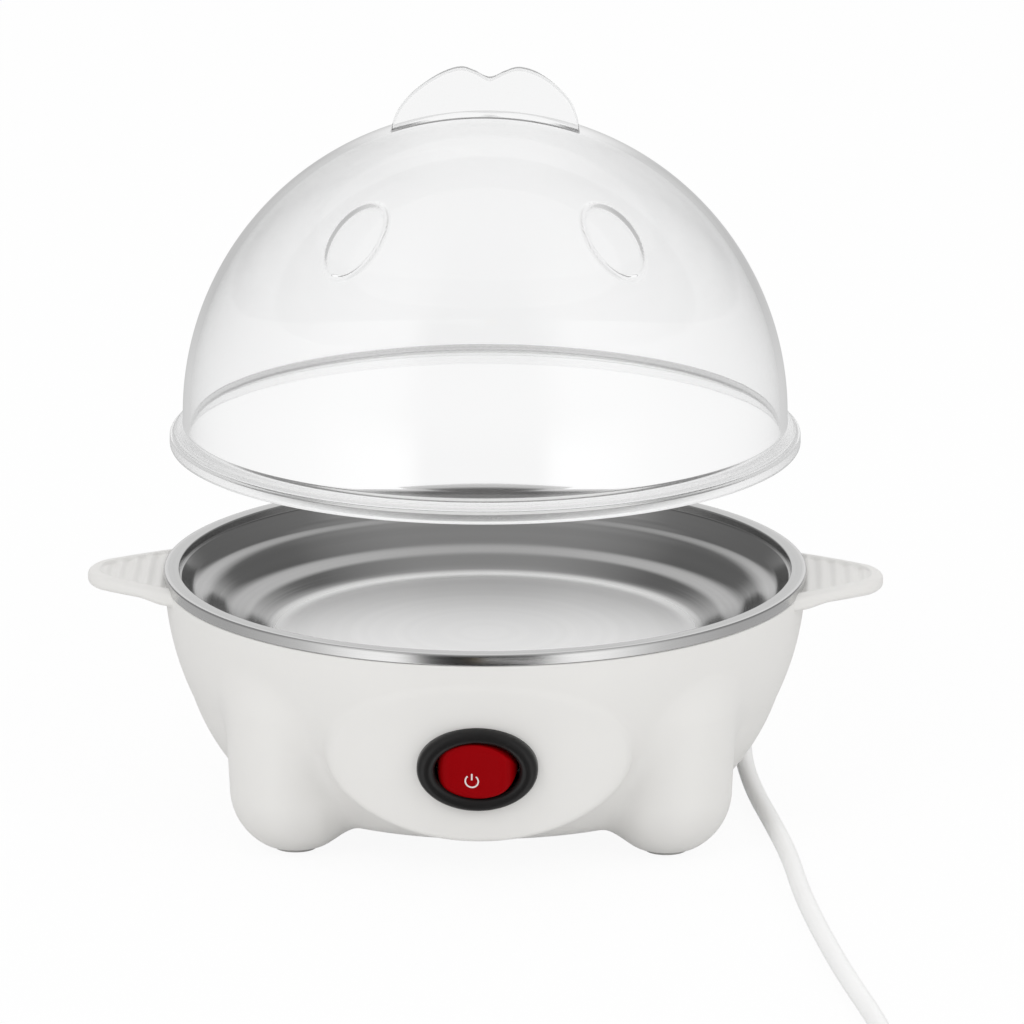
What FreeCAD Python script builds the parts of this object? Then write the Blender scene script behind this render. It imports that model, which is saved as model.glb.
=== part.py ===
import FreeCAD
import Part
import Sketcher

import math
import os
from types import SimpleNamespace

# Egg cooker: a white bowl on four round feet, a stepped steel pan that heats water,
# an oval rocker switch in front, a clear dome lid held above the rim and a mains cord.
# Millimetres. +Z is up, the switch faces -Y, and the origin is on the table under the axis.

doc = FreeCAD.newDocument("egg_cooker")
sheet = doc.addObject("Spreadsheet::Sheet", "dims")

sizes = {
    # bowl
    "rimRadius": 70.8,
    "rimTop": 53.0,
    "rimSkirt": 2.4,
    "waistRadius": 64.8,
    "waistHeight": 25.5,
    "bowlFoot": 51.5,
    "bowlBottom": 5.2,
    "upperArc": 62.0,
    "lowerArc": 47.0,
    "wall": 1.8,
    "opening": 42.8,
    # round feet
    "footX": 40.3,
    "footY": 38.8,
    "footBall": 14.3,
    "footCentre": 13.7,
    "footNeck": 15.2,
    "footNeckTop": 32.0,
    "padRadius": 4.6,
    "padThick": 1.8,
    # wing handles
    "handleTip": 87.65,
    "handleTipRound": 11.5,
    "handleSlope": 40.0,
    "handleSide": 95.0,
    "handleTop": 51.9,
    "handleThick": 2.8,
    "handleMargin": 2.4,
    "ribPitch": 3.2,
    "ribWidth": 1.7,
    # switch panel
    "panelHalfWidth": 33.0,
    "panelHalfHeight": 17.6,
    "panelHeight": 27.6,
    "panelTopRadius": 70.0,
    "panelFootRadius": 67.2,
    "switchHeight": 27.0,
    "switchFace": 68.7,
    "switchLean": 5.0,
    "bezelLong": 26.0,
    "bezelShort": 18.8,
    "bezelThick": 2.2,
    "rockerLong": 17.4,
    "rockerShort": 12.2,
    "rockerFace": 2.5,
    "rockerThrow": 8.0,
    "rockerPivot": 2.5,
    "leverThrow": 6.0,
    "leverPivot": 9.3,
    # steel pan
    "sheetThick": 0.7,
    "rimWidth": 3.4,
    "lipDepth": 1.8,
    "lipStep": 0.5,
    "ledgeOneFoot": 64.9,
    "ledgeOneRadius": 61.0,
    "ledgeOneTop": 46.2,
    "ledgeTwoFoot": 56.8,
    "ledgeTwoRadius": 52.6,
    "ledgeTwoTop": 41.0,
    "ledgeTwoRise": 1.2,
    "floorRadius": 47.6,
    "floorTop": 36.5,
    # heater
    "plateRadius": 45.0,
    "plateThick": 2.5,
    "elementRing": 32.0,
    "elementRadius": 3.2,
    "studCircle": 41.0,
    "studRadius": 2.0,
    "thermostatRadius": 8.0,
    # lid
    "lidLift": 28.3,
    "domeRadius": 66.3,
    "lidWall": 1.6,
    "flangeRadius": 69.2,
    "flangeHeight": 4.6,
    "gripHalf": 20.6,
    "gripTop": 12.9,
    "gripDip": 10.5,
    "gripLobe": 6.3,
    "gripLean": 1.0,
    "gripThick": 3.0,
    "eyeAzimuth": 37.1,
    "eyeTurn": 1.2,
    "eyeElevation": 46.0,
    "eyeWide": 6.9,
    "eyeTall": 10.6,
    "eyeRaise": 0.8,
    # cord
    "cordDiameter": 4.0,
    "glandHeight": 13.0,
    "glandFace": 62.1,
    "glandTail": 22.0,
    "coilRadius": 26.0,
    "coilPitch": 4.5,
    "coilX": 61.5,
    "coilY": -219.0,
    "coilLift": 3.1,
    "plugLong": 26.0,
    "plugWide": 19.0,
    "plugThick": 15.1,
}


class Dim:
    """A size with the sheet expression that it comes from."""

    def __init__(self, value, text):
        self.value = float(value)
        self.text = text

    def pair(self, other, sign, result, swap=False):
        text = other.text if isinstance(other, Dim) else repr(other)
        a, b = (text, self.text) if swap else (self.text, text)
        return Dim(result, f"({a} {sign} {b})")

    def __add__(self, other):
        return self.pair(other, "+", self.value + number(other))

    def __radd__(self, other):
        return self.pair(other, "+", number(other) + self.value, True)

    def __sub__(self, other):
        return self.pair(other, "-", self.value - number(other))

    def __rsub__(self, other):
        return self.pair(other, "-", number(other) - self.value, True)

    def __mul__(self, other):
        return self.pair(other, "*", self.value * number(other))

    def __rmul__(self, other):
        return self.pair(other, "*", number(other) * self.value, True)

    def __truediv__(self, other):
        return self.pair(other, "/", self.value / number(other))

    def __neg__(self):
        return Dim(-self.value, f"(-1 * {self.text})")

    def root(self):
        return Dim(math.sqrt(self.value), f"sqrt({self.text})")


def number(value):
    return value.value if isinstance(value, Dim) else float(value)


for row, (alias, value) in enumerate(sizes.items(), start=1):
    sheet.set(f"A{row}", alias)
    sheet.set(f"B{row}", repr(value))
    sheet.setAlias(f"B{row}", alias)
doc.recompute()
d = SimpleNamespace(**{alias: Dim(value, f"dims.{alias}") for alias, value in sizes.items()})

nodes = {}
AXIS_X = FreeCAD.Vector(1, 0, 0)
AXIS_Y = FreeCAD.Vector(0, 1, 0)
AXIS_Z = FreeCAD.Vector(0, 0, 1)


def bind(item, prop, value):
    if isinstance(value, Dim):
        item.setExpression(prop, value.text)
    else:
        setattr(item, prop, value)


def put(item, x=0.0, y=0.0, z=0.0, turn=None):
    """Places an object, with its rotation fixed and its position bound to the sheet."""
    spot = FreeCAD.Vector(number(x), number(y), number(z))
    item.Placement = FreeCAD.Placement(spot, turn or FreeCAD.Rotation())
    for axis, value in zip("xyz", (x, y, z)):
        if isinstance(value, Dim):
            item.setExpression(f"Placement.Base.{axis}", value.text)
    return item


def turn_about(axis, degrees):
    return FreeCAD.Rotation(axis, degrees)


def cylinder(name, radius, height, x=0.0, y=0.0, z=0.0, turn=None):
    item = doc.addObject("Part::Cylinder", name)
    bind(item, "Radius", radius)
    bind(item, "Height", height)
    return put(item, x, y, z, turn)


def cone(name, bottom, top, height, x=0.0, y=0.0, z=0.0, turn=None):
    item = doc.addObject("Part::Cone", name)
    bind(item, "Radius1", bottom)
    bind(item, "Radius2", top)
    bind(item, "Height", height)
    return put(item, x, y, z, turn)


def ball(name, radius, x=0.0, y=0.0, z=0.0):
    item = doc.addObject("Part::Sphere", name)
    bind(item, "Radius", radius)
    return put(item, x, y, z)


def block(name, length, width, height, x=0.0, y=0.0, z=0.0, turn=None):
    """A box whose position is its lowest corner before it is turned."""
    item = doc.addObject("Part::Box", name)
    bind(item, "Length", length)
    bind(item, "Width", width)
    bind(item, "Height", height)
    return put(item, x, y, z, turn)


def cut(name, base, tool):
    item = doc.addObject("Part::Cut", name)
    item.Base = base
    item.Tool = tool
    return item


def fuse(name, *members):
    item = doc.addObject("Part::MultiFuse", name)
    item.Shapes = list(members)
    return item


def common(name, *members):
    item = doc.addObject("Part::MultiCommon", name)
    item.Shapes = list(members)
    return item


def keep(label, item):
    item.Label = label
    nodes[label] = item
    return item


def outline(sketch, corners):
    """A closed outline of lines and arcs through corners (x, y) or (x, y, radius, side).

    The third value makes the edge that ends at the corner an arc of that radius, and side
    is 1 where the arc bulges to the left of its direction of travel, or -1 to the right.
    Every corner is held by distances from the sketch's origin.
    """
    flat = [FreeCAD.Vector(number(c[0]), number(c[1]), 0) for c in corners]
    ends = []
    for i, corner in enumerate(corners):
        a, b = flat[i - 1], flat[i]
        if len(corner) == 2:
            edge = sketch.addGeometry(Part.LineSegment(a, b), False)
            ends.append((edge, 1, 2))
            continue
        radius, side = number(corner[2]), corner[3]
        chord = b - a
        across = FreeCAD.Vector(-chord.y, chord.x, 0).normalize() * side
        rise = radius - math.sqrt(radius**2 - chord.Length**2 / 4)
        middle = (a + b) * 0.5 + across * rise
        arc = Part.Arc(b, middle, a) if side == 1 else Part.Arc(a, middle, b)
        edge = sketch.addGeometry(arc, False)
        ends.append((edge, 2, 1) if side == 1 else (edge, 1, 2))
        held = sketch.addConstraint(Sketcher.Constraint("Radius", edge, radius))
        if isinstance(corner[2], Dim):
            sketch.setExpression(f"Constraints[{held}]", corner[2].text)
    for i, corner in enumerate(corners):
        edge, _, last = ends[i]
        following, first, _ = ends[(i + 1) % len(ends)]
        sketch.addConstraint(Sketcher.Constraint("Coincident", edge, last, following, first))
        for kind, value, axis in (("DistanceX", corner[0], -2), ("DistanceY", corner[1], -1)):
            if abs(number(value)) < 1e-9:
                sketch.addConstraint(Sketcher.Constraint("PointOnObject", edge, last, axis))
                continue
            held = sketch.addConstraint(
                Sketcher.Constraint(kind, -1, 1, edge, last, number(value))
            )
            if isinstance(value, Dim):
                sketch.setExpression(f"Constraints[{held}]", value.text)


def body_sketch(body, name, plane):
    sketch = body.newObject("Sketcher::SketchObject", name)
    origin = next(f for f in body.Origin.OriginFeatures if f.Role == plane)
    sketch.AttachmentSupport = [(origin, "")]
    sketch.MapMode = "FlatFace"
    return sketch


def turned(name, corners):
    """A body turned about Z from a half outline in the XZ plane."""
    body = doc.addObject("PartDesign::Body", name)
    sketch = body_sketch(body, f"{name}_outline", "XZ_Plane")
    outline(sketch, corners)
    feature = body.newObject("PartDesign::Revolution", f"{name}_turned")
    feature.Profile = sketch
    feature.ReferenceAxis = (sketch, ["V_Axis"])
    feature.Angle = 360.0
    return body


def padded(name, corners, length, plane="XY_Plane", midplane=False):
    """A body padded from an outline in one of its origin planes."""
    body = doc.addObject("PartDesign::Body", name)
    sketch = body_sketch(body, f"{name}_outline", plane)
    outline(sketch, corners)
    feature = body.newObject("PartDesign::Pad", f"{name}_pad")
    feature.Profile = sketch
    bind(feature, "Length", length)
    if midplane:
        feature.SideType = "Symmetric"
    return body


def oval_block(name, half_long, half_short, height):
    """An elliptical block that stands on the XY plane."""
    ring = doc.addObject("Part::Ellipse", f"{name}_ring")
    bind(ring, "MajorRadius", half_long)
    bind(ring, "MinorRadius", half_short)
    solid = doc.addObject("Part::Extrusion", name)
    solid.Base = ring
    solid.Dir = AXIS_Z
    solid.DirMode = "Custom"
    bind(solid, "LengthFwd", height)
    solid.Solid = True
    return solid


# Bowl with its feet, wing handles and switch panel, one white moulding
def bowl_corners(inset, bottom, top):
    """Half outline of the bowl, drawn in by inset, with a level bottom and top."""
    return [
        (0, bottom),
        (d.bowlFoot - inset, bottom),
        (d.waistRadius - inset, d.waistHeight, d.lowerArc - inset, -1),
        (d.rimRadius - 0.2 - inset, top, d.upperArc - inset, -1),
        (0, top),
    ]


shoulder = d.rimTop - d.rimSkirt - 0.2
bowl_outer = turned("bowl_outer", bowl_corners(0.0, d.bowlBottom, shoulder))
bowl_inner = turned("bowl_inner", bowl_corners(d.wall, d.bowlBottom + 2.2, shoulder + 4.0))
lip = turned(
    "bowl_lip",
    [
        (d.rimRadius - 2.5, shoulder - 1.0),
        (d.rimRadius - 1.0, shoulder - 1.0),
        (d.rimRadius - 1.0, d.rimTop - 1.5),
        (d.rimRadius - 2.5, d.rimTop - 1.5),
    ],
)

corner_signs = [(1, 1), (-1, 1), (-1, -1), (1, -1)]
foot_solids = []
foot_hollows = []
for index, (sx, sy) in enumerate(corner_signs):
    x, y = d.footX * sx, d.footY * sy
    neck_height = d.footNeckTop - d.footCentre
    foot_solids += [
        ball(f"foot_ball_{index}", d.footBall, x, y, d.footCentre),
        cone(f"foot_neck_{index}", d.footBall, d.footNeck, neck_height, x, y, d.footCentre),
    ]
    foot_hollows += [
        ball(f"foot_hollow_{index}", d.footBall - d.wall, x, y, d.footCentre),
        cylinder(
            f"foot_bore_{index}", d.footBall - d.wall, neck_height - 4.0, x, y, d.footCentre
        ),
    ]

panel_height = d.panelHalfHeight * 2
panel_cone = cone(
    "panel_cone",
    d.panelFootRadius,
    d.panelTopRadius,
    panel_height,
    z=d.panelHeight - d.panelHalfHeight,
)
panel_hollow_cone = cone(
    "panel_hollow_cone",
    d.panelFootRadius - d.wall - 0.6,
    d.panelTopRadius - d.wall - 0.6,
    panel_height,
    z=d.panelHeight - d.panelHalfHeight,
)
upright = turn_about(AXIS_X, 90)
panel_oval = oval_block("panel_oval", d.panelHalfWidth, d.panelHalfHeight, 46.0)
put(panel_oval, y=-30.0, z=d.panelHeight, turn=upright)
panel_hollow = oval_block(
    "panel_hollow", d.panelHalfWidth - d.wall, d.panelHalfHeight - d.wall, 46.0
)
put(panel_hollow, y=-30.0, z=d.panelHeight, turn=upright)
panel = common("switch_panel", panel_oval, panel_cone)
panel_inside = common("switch_panel_inside", panel_hollow, panel_hollow_cone)

# Each wing has a round tip that runs into two gently curved sides, with a sunk and ribbed top
wing_parts = []
wing_cuts = []
tip_back = d.handleTip - d.handleTipRound
wing_bottom = d.handleTop - d.handleThick
slope = math.radians(sizes["handleSlope"])
root_x = d.rimRadius - 8.0
sunk_x = d.rimRadius + 1.2
centre_gap = d.handleSide - d.handleTipRound
side_x = tip_back - centre_gap * math.sin(slope)
side_y = -(centre_gap * math.cos(slope))
wing_edges = []
for start, inset in ((root_x, 0.0), (sunk_x, d.handleMargin)):
    round_size = d.handleTipRound - inset
    bend = d.handleSide - inset
    across = start - side_x
    start_y = side_y + (bend * bend - across * across).root()
    tip_x = tip_back + round_size * math.sin(slope)
    tip_y = round_size * math.cos(slope)
    wing_edges.append((start, start_y, bend, tip_x, tip_y, round_size))
for side, name in ((1, "right"), (-1, "left")):
    wing, sunk = [
        padded(
            f"{label}_{name}",
            [
                (start * side, -start_y),
                (tip_x * side, -tip_y, bend, -side),
                (tip_x * side, tip_y, round_size, -side),
                (start * side, start_y, bend, -side),
            ],
            thick,
        )
        for label, thick, (start, start_y, bend, tip_x, tip_y, round_size) in zip(
            ("wing", "wing_sunk"), (d.handleThick, 2.0), wing_edges
        )
    ]
    put(wing, z=wing_bottom)
    wing_parts.append(wing)
    put(sunk, z=d.handleTop - 1.0)
    bars = [
        block(
            f"wing_bar_{name}_{bar}",
            d.ribWidth,
            60.0,
            3.0,
            x=(d.rimRadius + 2.4 + d.ribPitch * bar + d.ribWidth * 0.5) * side - d.ribWidth * 0.5,
            y=-30.0,
            z=d.handleTop - 2.8,
        )
        for bar in range(4)
    ]
    wing_cuts.append(cut(f"wing_grooves_{name}", sunk, fuse(f"wing_bars_{name}", *bars)))

gland_pad = cylinder(
    "gland_pad", 7.5, 14.0, y=d.glandFace - 14.0, z=d.glandHeight, turn=turn_about(AXIS_X, -90)
)
outside = fuse("shell_outside", bowl_outer, panel, gland_pad, lip, *foot_solids, *wing_parts)

boss_angles = (20.0, 160.0, 200.0, 340.0)
boss_circle = 38.0
boss_radius = 3.4
cover_top = d.bowlBottom + 2.2
boss_spots = [
    (boss_circle * math.cos(math.radians(a)), boss_circle * math.sin(math.radians(a)))
    for a in boss_angles
]
boss_posts = []
for index, ((x, y), angle) in enumerate(zip(boss_spots, boss_angles)):
    post = cylinder(f"boss_post_{index}", boss_radius, 13.0, x, y, cover_top + 0.1)
    rib_turn = turn_about(AXIS_Z, angle)
    rib_start = rib_turn.multVec(FreeCAD.Vector(boss_circle, -1.0, 0))
    rib = block(
        f"boss_rib_{index}", 24.0, 2.0, 9.0, rib_start.x, rib_start.y, cover_top + 2.0, rib_turn
    )
    boss_posts += [post, common(f"boss_rib_trimmed_{index}", rib, bowl_outer)]
boss_holes = [
    cylinder(f"boss_hole_{index}", 1.25, 12.0, x, y, cover_top)
    for index, (x, y) in enumerate(boss_spots)
]

switch_turn = turn_about(AXIS_X, 90.0 + sizes["switchLean"])


def switch_put(item, x=0.0, y=0.0, z=0.0, turn=None):
    """Places a switch piece: x to the right, y up the panel and z straight out of it."""
    out = FreeCAD.Vector(number(x), number(y), number(z))
    spot = FreeCAD.Vector(0, -sizes["switchFace"], sizes["switchHeight"]) + switch_turn.multVec(out)
    item.Placement = FreeCAD.Placement(spot, switch_turn.multiply(turn or FreeCAD.Rotation()))
    return item


switch_depth = 15.0
case_long = 21.6
case_short = 14.6
switch_hole = switch_put(
    block("switch_hole", case_long + 0.4, case_short + 0.4, 30.0),
    -(case_long + 0.4) / 2,
    -(case_short + 0.4) / 2,
    -22.0,
)
seat = oval_block("switch_seat", d.bezelLong * 0.5 + 0.6, d.bezelShort * 0.5 + 0.6, 8.0)
switch_put(seat, z=0.0)
gland_hole = cylinder(
    "gland_hole", 3.9, 30.0, y=d.glandFace - 24.0, z=d.glandHeight, turn=turn_about(AXIS_X, -90)
)
gland_seat = cylinder(
    "gland_seat", 5.4, 17.0, y=d.glandFace - 19.95, z=d.glandHeight, turn=turn_about(AXIS_X, -90)
)
rim_room = turned(
    "rim_room",
    [
        (d.rimRadius - 2.6, d.rimTop - 1.5),
        (d.rimRadius - 1.0, d.rimTop - 1.5),
        (d.rimRadius - 1.0, shoulder),
        (d.rimRadius + 0.3, shoulder),
        (d.rimRadius + 0.3, d.rimTop + 2.0),
        (d.rimRadius - 2.6, d.rimTop + 2.0),
    ],
)
pan_room = cylinder("pan_room", d.rimRadius - 2.5, 12.0, z=d.ledgeOneTop - 3.0)
below = block("below_feet", 240.0, 240.0, 20.0, -120.0, -120.0, -19.4)
bottom_hole = cylinder("bottom_hole", d.opening, 6.0, z=d.bowlBottom - 2.0)
pad_seats = [
    cylinder(f"pad_seat_{i}", d.padRadius + 0.15, 1.9, d.footX * sx, d.footY * sy)
    for i, (sx, sy) in enumerate(corner_signs)
]
hollow = fuse("shell_hollow", bowl_inner, panel_inside, pan_room, *foot_hollows)
walls = cut("shell_walls", outside, hollow)
bossed = fuse("shell_bossed", walls, *boss_posts)
openings = fuse(
    "shell_openings",
    bottom_hole,
    switch_hole,
    seat,
    gland_hole,
    gland_seat,
    rim_room,
    below,
    *wing_cuts,
    *boss_holes,
    *pad_seats,
)
keep("outer_shell", cut("outer_shell", bossed, openings))

foot_pads = [
    cylinder(f"foot_pad_{i}", d.padRadius, d.padThick, d.footX * sx, d.footY * sy)
    for i, (sx, sy) in enumerate(corner_signs)
]
foot_pad_group = doc.addObject("Part::Compound", "foot_pads")
foot_pad_group.Links = foot_pads
keep("foot_pads", foot_pad_group)

# Bottom cover with its vents and screws
cover = turned(
    "base_cover",
    [
        (0, d.bowlBottom + 0.2),
        (d.opening - 0.4, d.bowlBottom + 0.2),
        (d.opening - 0.4, cover_top),
        (d.opening - 2.4, cover_top),
        (0, cover_top),
    ],
)
vents = [
    block(f"cover_vent_{row}", 16.0, 2.0, 6.0, -8.0, row * 5.0 - 1.0, d.bowlBottom - 2.0)
    for row in (-2, -1, 0, 1, 2)
]
screw_holes = [
    cylinder(f"cover_hole_{i}", 1.7, 6.0, x, y, d.bowlBottom - 2.0)
    for i, (x, y) in enumerate(boss_spots)
]
keep("base_cover", cut("base_cover_cut", cover, fuse("cover_openings", *vents, *screw_holes)))

screws = []
for index, (x, y) in enumerate(boss_spots):
    shank = cylinder(f"screw_shank_{index}", 1.2, 10.0, x, y, d.bowlBottom + 0.2)
    head = cone(f"screw_head_{index}", 3.0, 2.2, 1.6, x, y, d.bowlBottom - 1.4)
    slot_foot = d.bowlBottom - 1.6
    cross = [
        block(f"screw_slot_{index}_long", 3.4, 0.8, 1.0, x - 1.7, y - 0.4, slot_foot),
        block(f"screw_slot_{index}_across", 0.8, 3.4, 1.0, x - 0.4, y - 1.7, slot_foot),
    ]
    joined = fuse(f"screw_joined_{index}", shank, head)
    screws.append(cut(f"screw_{index}", joined, fuse(f"screw_cross_{index}", *cross)))
screw_group = doc.addObject("Part::Compound", "cover_screws")
screw_group.Links = screws
keep("cover_screws", screw_group)

# Stepped steel pan, with a flat rim that hooks over the bowl's lip
t = d.sheetThick
inner = d.rimRadius - d.rimWidth
keep(
    "heating_pan",
    turned(
        "heating_pan",
        [
            (0, d.floorTop),
            (d.floorRadius, d.floorTop),
            (d.ledgeTwoRadius, d.ledgeTwoTop),
            (d.ledgeTwoFoot, d.ledgeTwoTop + d.ledgeTwoRise),
            (d.ledgeOneRadius, d.ledgeOneTop),
            (d.ledgeOneFoot, d.ledgeOneTop),
            (inner - d.lipStep, d.rimTop - d.lipDepth),
            (inner, d.rimTop - d.lipDepth),
            (inner, d.rimTop),
            (d.rimRadius - t, d.rimTop),
            (d.rimRadius, d.rimTop - t, t, 1),
            (d.rimRadius, d.rimTop - d.rimSkirt),
            (d.rimRadius - t, d.rimTop - d.rimSkirt),
            (d.rimRadius - t, d.rimTop - t),
            (inner + t, d.rimTop - t),
            (inner + t, d.rimTop - d.lipDepth - t),
            (inner - d.lipStep + t, d.rimTop - d.lipDepth - t),
            (d.ledgeOneFoot + t * 0.7, d.ledgeOneTop - t),
            (d.ledgeOneRadius + t * 0.4, d.ledgeOneTop - t),
            (d.ledgeTwoFoot + t * 0.4, d.ledgeTwoTop + d.ledgeTwoRise - t),
            (d.ledgeTwoRadius + t * 0.4, d.ledgeTwoTop - t),
            (d.floorRadius + t * 0.4, d.floorTop - t),
            (0, d.floorTop - t),
        ],
    ),
)
keep(
    "rim_seal",
    turned(
        "rim_seal",
        [
            (d.rimRadius - 2.4, d.rimTop - 1.45),
            (d.rimRadius - 1.1, d.rimTop - 1.45),
            (d.rimRadius - 1.1, d.rimTop - t - 0.05),
            (d.rimRadius - 2.4, d.rimTop - t - 0.05),
        ],
    ),
)

# Heater under the pan: spreader plate, ring element, clamp plate, studs, thermostat and fuse
under = d.floorTop - t
stud_angles = (90.0, 210.0, 330.0)
stud_spots = [
    (d.studCircle * math.cos(math.radians(a)), d.studCircle * math.sin(math.radians(a)))
    for a in stud_angles
]
stud_room = [
    cylinder(f"stud_room_{i}", d.studRadius + 0.3, 30.0, x, y, under - 20.0)
    for i, (x, y) in enumerate(stud_spots)
]
plate_bore = cylinder("thermostat_hole", d.thermostatRadius + 1.0, 30.0, z=under - 20.0)
plate_holes = fuse("plate_holes", plate_bore, *stud_room)
plate = cylinder("plate_disc", d.plateRadius, d.plateThick, z=under - d.plateThick)
keep("heat_plate", cut("heat_plate", plate, plate_holes))

ring_height = under - d.plateThick - d.elementRadius - 0.05
element_gap = 40.0
ring = doc.addObject("Part::Torus", "element_ring")
bind(ring, "Radius1", d.elementRing)
bind(ring, "Radius2", d.elementRadius)
ring.Angle3 = 360.0 - element_gap
put(ring, z=ring_height, turn=turn_about(AXIS_Z, -90.0 + element_gap / 2))
pins = []
pin_spots = []
for index, sign in enumerate((-1, 1)):
    angle = math.radians(-90.0 + sign * (element_gap / 2 + 5.0))
    x, y = sizes["elementRing"] * math.cos(angle), sizes["elementRing"] * math.sin(angle)
    pin_spots.append((x, y))
    pins.append(cylinder(f"element_pin_{index}", 1.5, 16.0, x, y, ring_height - 16.0))
keep("heating_element", fuse("heating_element", ring, *pins))

clamp_top = ring_height - d.elementRadius - 0.05
clamp_thick = 1.2
pin_room = [
    cylinder(f"pin_room_{i}", 3.2, 10.0, x, y, clamp_top - 6.0)
    for i, (x, y) in enumerate(pin_spots)
]
clamp_disc = cylinder("clamp_disc", d.studCircle + 3.0, clamp_thick, z=clamp_top - clamp_thick)
clamp_centre = cylinder("clamp_centre", 20.0, 10.0, z=clamp_top - 6.0)
clamp_studs = [
    cylinder(f"clamp_stud_{i}", d.studRadius + 0.3, 10.0, x, y, clamp_top - 6.0)
    for i, (x, y) in enumerate(stud_spots)
]
clamp_holes = fuse("clamp_holes", clamp_centre, *pin_room, *clamp_studs)
keep("element_clamp", cut("element_clamp", clamp_disc, clamp_holes))

studs = doc.addObject("Part::Compound", "pan_studs")
stud_foot = clamp_top - clamp_thick - 5.0
studs.Links = [
    cylinder(f"pan_stud_{i}", d.studRadius, under - stud_foot, x, y, stud_foot)
    for i, (x, y) in enumerate(stud_spots)
]
keep("pan_studs", studs)
nuts = []
nut_size = 4.0
for index, (x, y) in enumerate(stud_spots):
    hexagon = doc.addObject("Part::Prism", f"nut_hex_{index}")
    hexagon.Polygon = 6
    hexagon.Circumradius = nut_size
    hexagon.Height = 3.0
    put(hexagon, x, y, clamp_top - clamp_thick - 3.0)
    bore = cylinder(f"nut_bore_{index}", d.studRadius, 6.0, x, y, clamp_top - clamp_thick - 4.5)
    nuts.append(cut(f"nut_{index}", hexagon, bore))
nut_group = doc.addObject("Part::Compound", "clamp_nuts")
nut_group.Links = nuts
keep("clamp_nuts", nut_group)

strap_thick = 0.6
strap = block("strap_bar", 50.0, 9.0, strap_thick, -25.0, -4.5, clamp_top)
strap_window = block("strap_window", 6.0, 5.0, 4.0, -3.0, -2.5, clamp_top - 1.0)
keep("thermostat_strap", cut("thermostat_strap", strap, strap_window))
disc_foot = clamp_top + strap_thick
disc = cylinder("thermostat_can", d.thermostatRadius, under - disc_foot, z=disc_foot)
blade_drop = 5.0
blade_spots = (-1.6, 1.6)
blades = [
    block(f"thermostat_blade_{i}", 0.8, 3.6, 10.0, x - 0.4, -1.8, disc_foot - blade_drop)
    for i, x in enumerate(blade_spots)
]
keep("thermostat", fuse("thermostat", disc, *blades))

fuse_y = 29.0
fuse_z = clamp_top - clamp_thick - 3.6
along_x = turn_about(AXIS_Y, 90)
fuse_can = cylinder("fuse_can", 1.9, 12.0, -6.0, fuse_y, fuse_z, along_x)
fuse_wire = cylinder("fuse_wire", 0.5, 30.0, -15.0, fuse_y, fuse_z, along_x)
keep("thermal_fuse", fuse("thermal_fuse", fuse_can, fuse_wire))
sleeve = cylinder("sleeve_out", 2.7, 18.0, -9.0, fuse_y, fuse_z, along_x)
sleeve_in = cylinder("sleeve_in", 2.0, 22.0, -11.0, fuse_y, fuse_z, along_x)
keep("fuse_sleeve", cut("fuse_sleeve", sleeve, sleeve_in))
clip_band = cylinder("clip_out", 3.5, 6.0, -3.0, fuse_y, fuse_z, along_x)
clip_ear = block("clip_ear", 6.0, 9.0, 0.8, -3.0, fuse_y - 1.0, clamp_top - clamp_thick - 0.85)
clip_bore = cylinder("clip_in", 2.75, 10.0, -5.0, fuse_y, fuse_z, along_x)
keep("fuse_clip", cut("fuse_clip", fuse("clip_joined", clip_band, clip_ear), clip_bore))

# Oval rocker switch
bezel = oval_block("bezel_oval", d.bezelLong * 0.5, d.bezelShort * 0.5, d.bezelThick)
switch_put(bezel)
bezel_round = doc.addObject("Part::Fillet", "bezel_round")
doc.recompute()
bezel_round.Base = bezel
back = switch_turn.inverted()
bezel_middle = back.multVec(bezel.Shape.CenterOfMass).z
bezel_rounding = 1.5
bezel_round.Edges = [
    (i, bezel_rounding, bezel_rounding)
    for i, e in enumerate(bezel.Shape.Edges, start=1)
    if len(e.Vertexes) == 1 and back.multVec(e.CenterOfMass).z > bezel_middle
]
case = block("switch_case", case_long, case_short, switch_depth + 0.5)
switch_put(case, -case_long / 2, -case_short / 2, -switch_depth)
mouth = oval_block("switch_mouth", d.rockerLong * 0.5 + 0.95, d.rockerShort * 0.5 + 0.35, 30.0)
switch_put(mouth, z=-6.2)
well_long = 18.6
well_short = 10.6
well_depth = 12.5
well = block("switch_well", well_long, well_short, well_depth)
switch_put(well, -well_long / 2, -well_short / 2, -well_depth)
pivot_radius = 1.2
pivot_bore = cylinder("pivot_bore", pivot_radius + 0.05, 14.8)
switch_put(pivot_bore, 0, 7.4, -d.rockerPivot, turn_about(AXIS_X, 90))
case_full = fuse("switch_case_full", bezel_round, case)
terminal_spots = (-6.0, 0.0, 6.0)
terminal_tops = (-10.5, -10.7, -10.5)
terminal_foot = -switch_depth - 6.0
terminal_slots = [
    switch_put(block(f"terminal_slot_{i}", 0.8, 4.8, 5.0), x - 0.4, -2.4, -switch_depth - 1.0)
    for i, x in enumerate(terminal_spots)
]
case_cuts = fuse("switch_case_cuts", mouth, well, pivot_bore, *terminal_slots)
keep("switch_housing", cut("switch_housing", case_full, case_cuts))

rest_turn = turn_about(AXIS_Y, -sizes["rockerThrow"])


def rocker_put(item, x=0.0, y=0.0, z=0.0, turn=None):
    """Places a rocker piece from its pivot, with the left end pressed in."""
    local = rest_turn.multVec(FreeCAD.Vector(number(x), number(y), number(z)))
    tilt = rest_turn.multiply(turn or FreeCAD.Rotation())
    return switch_put(item, local.x, local.y, local.z - sizes["rockerPivot"], tilt)


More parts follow.
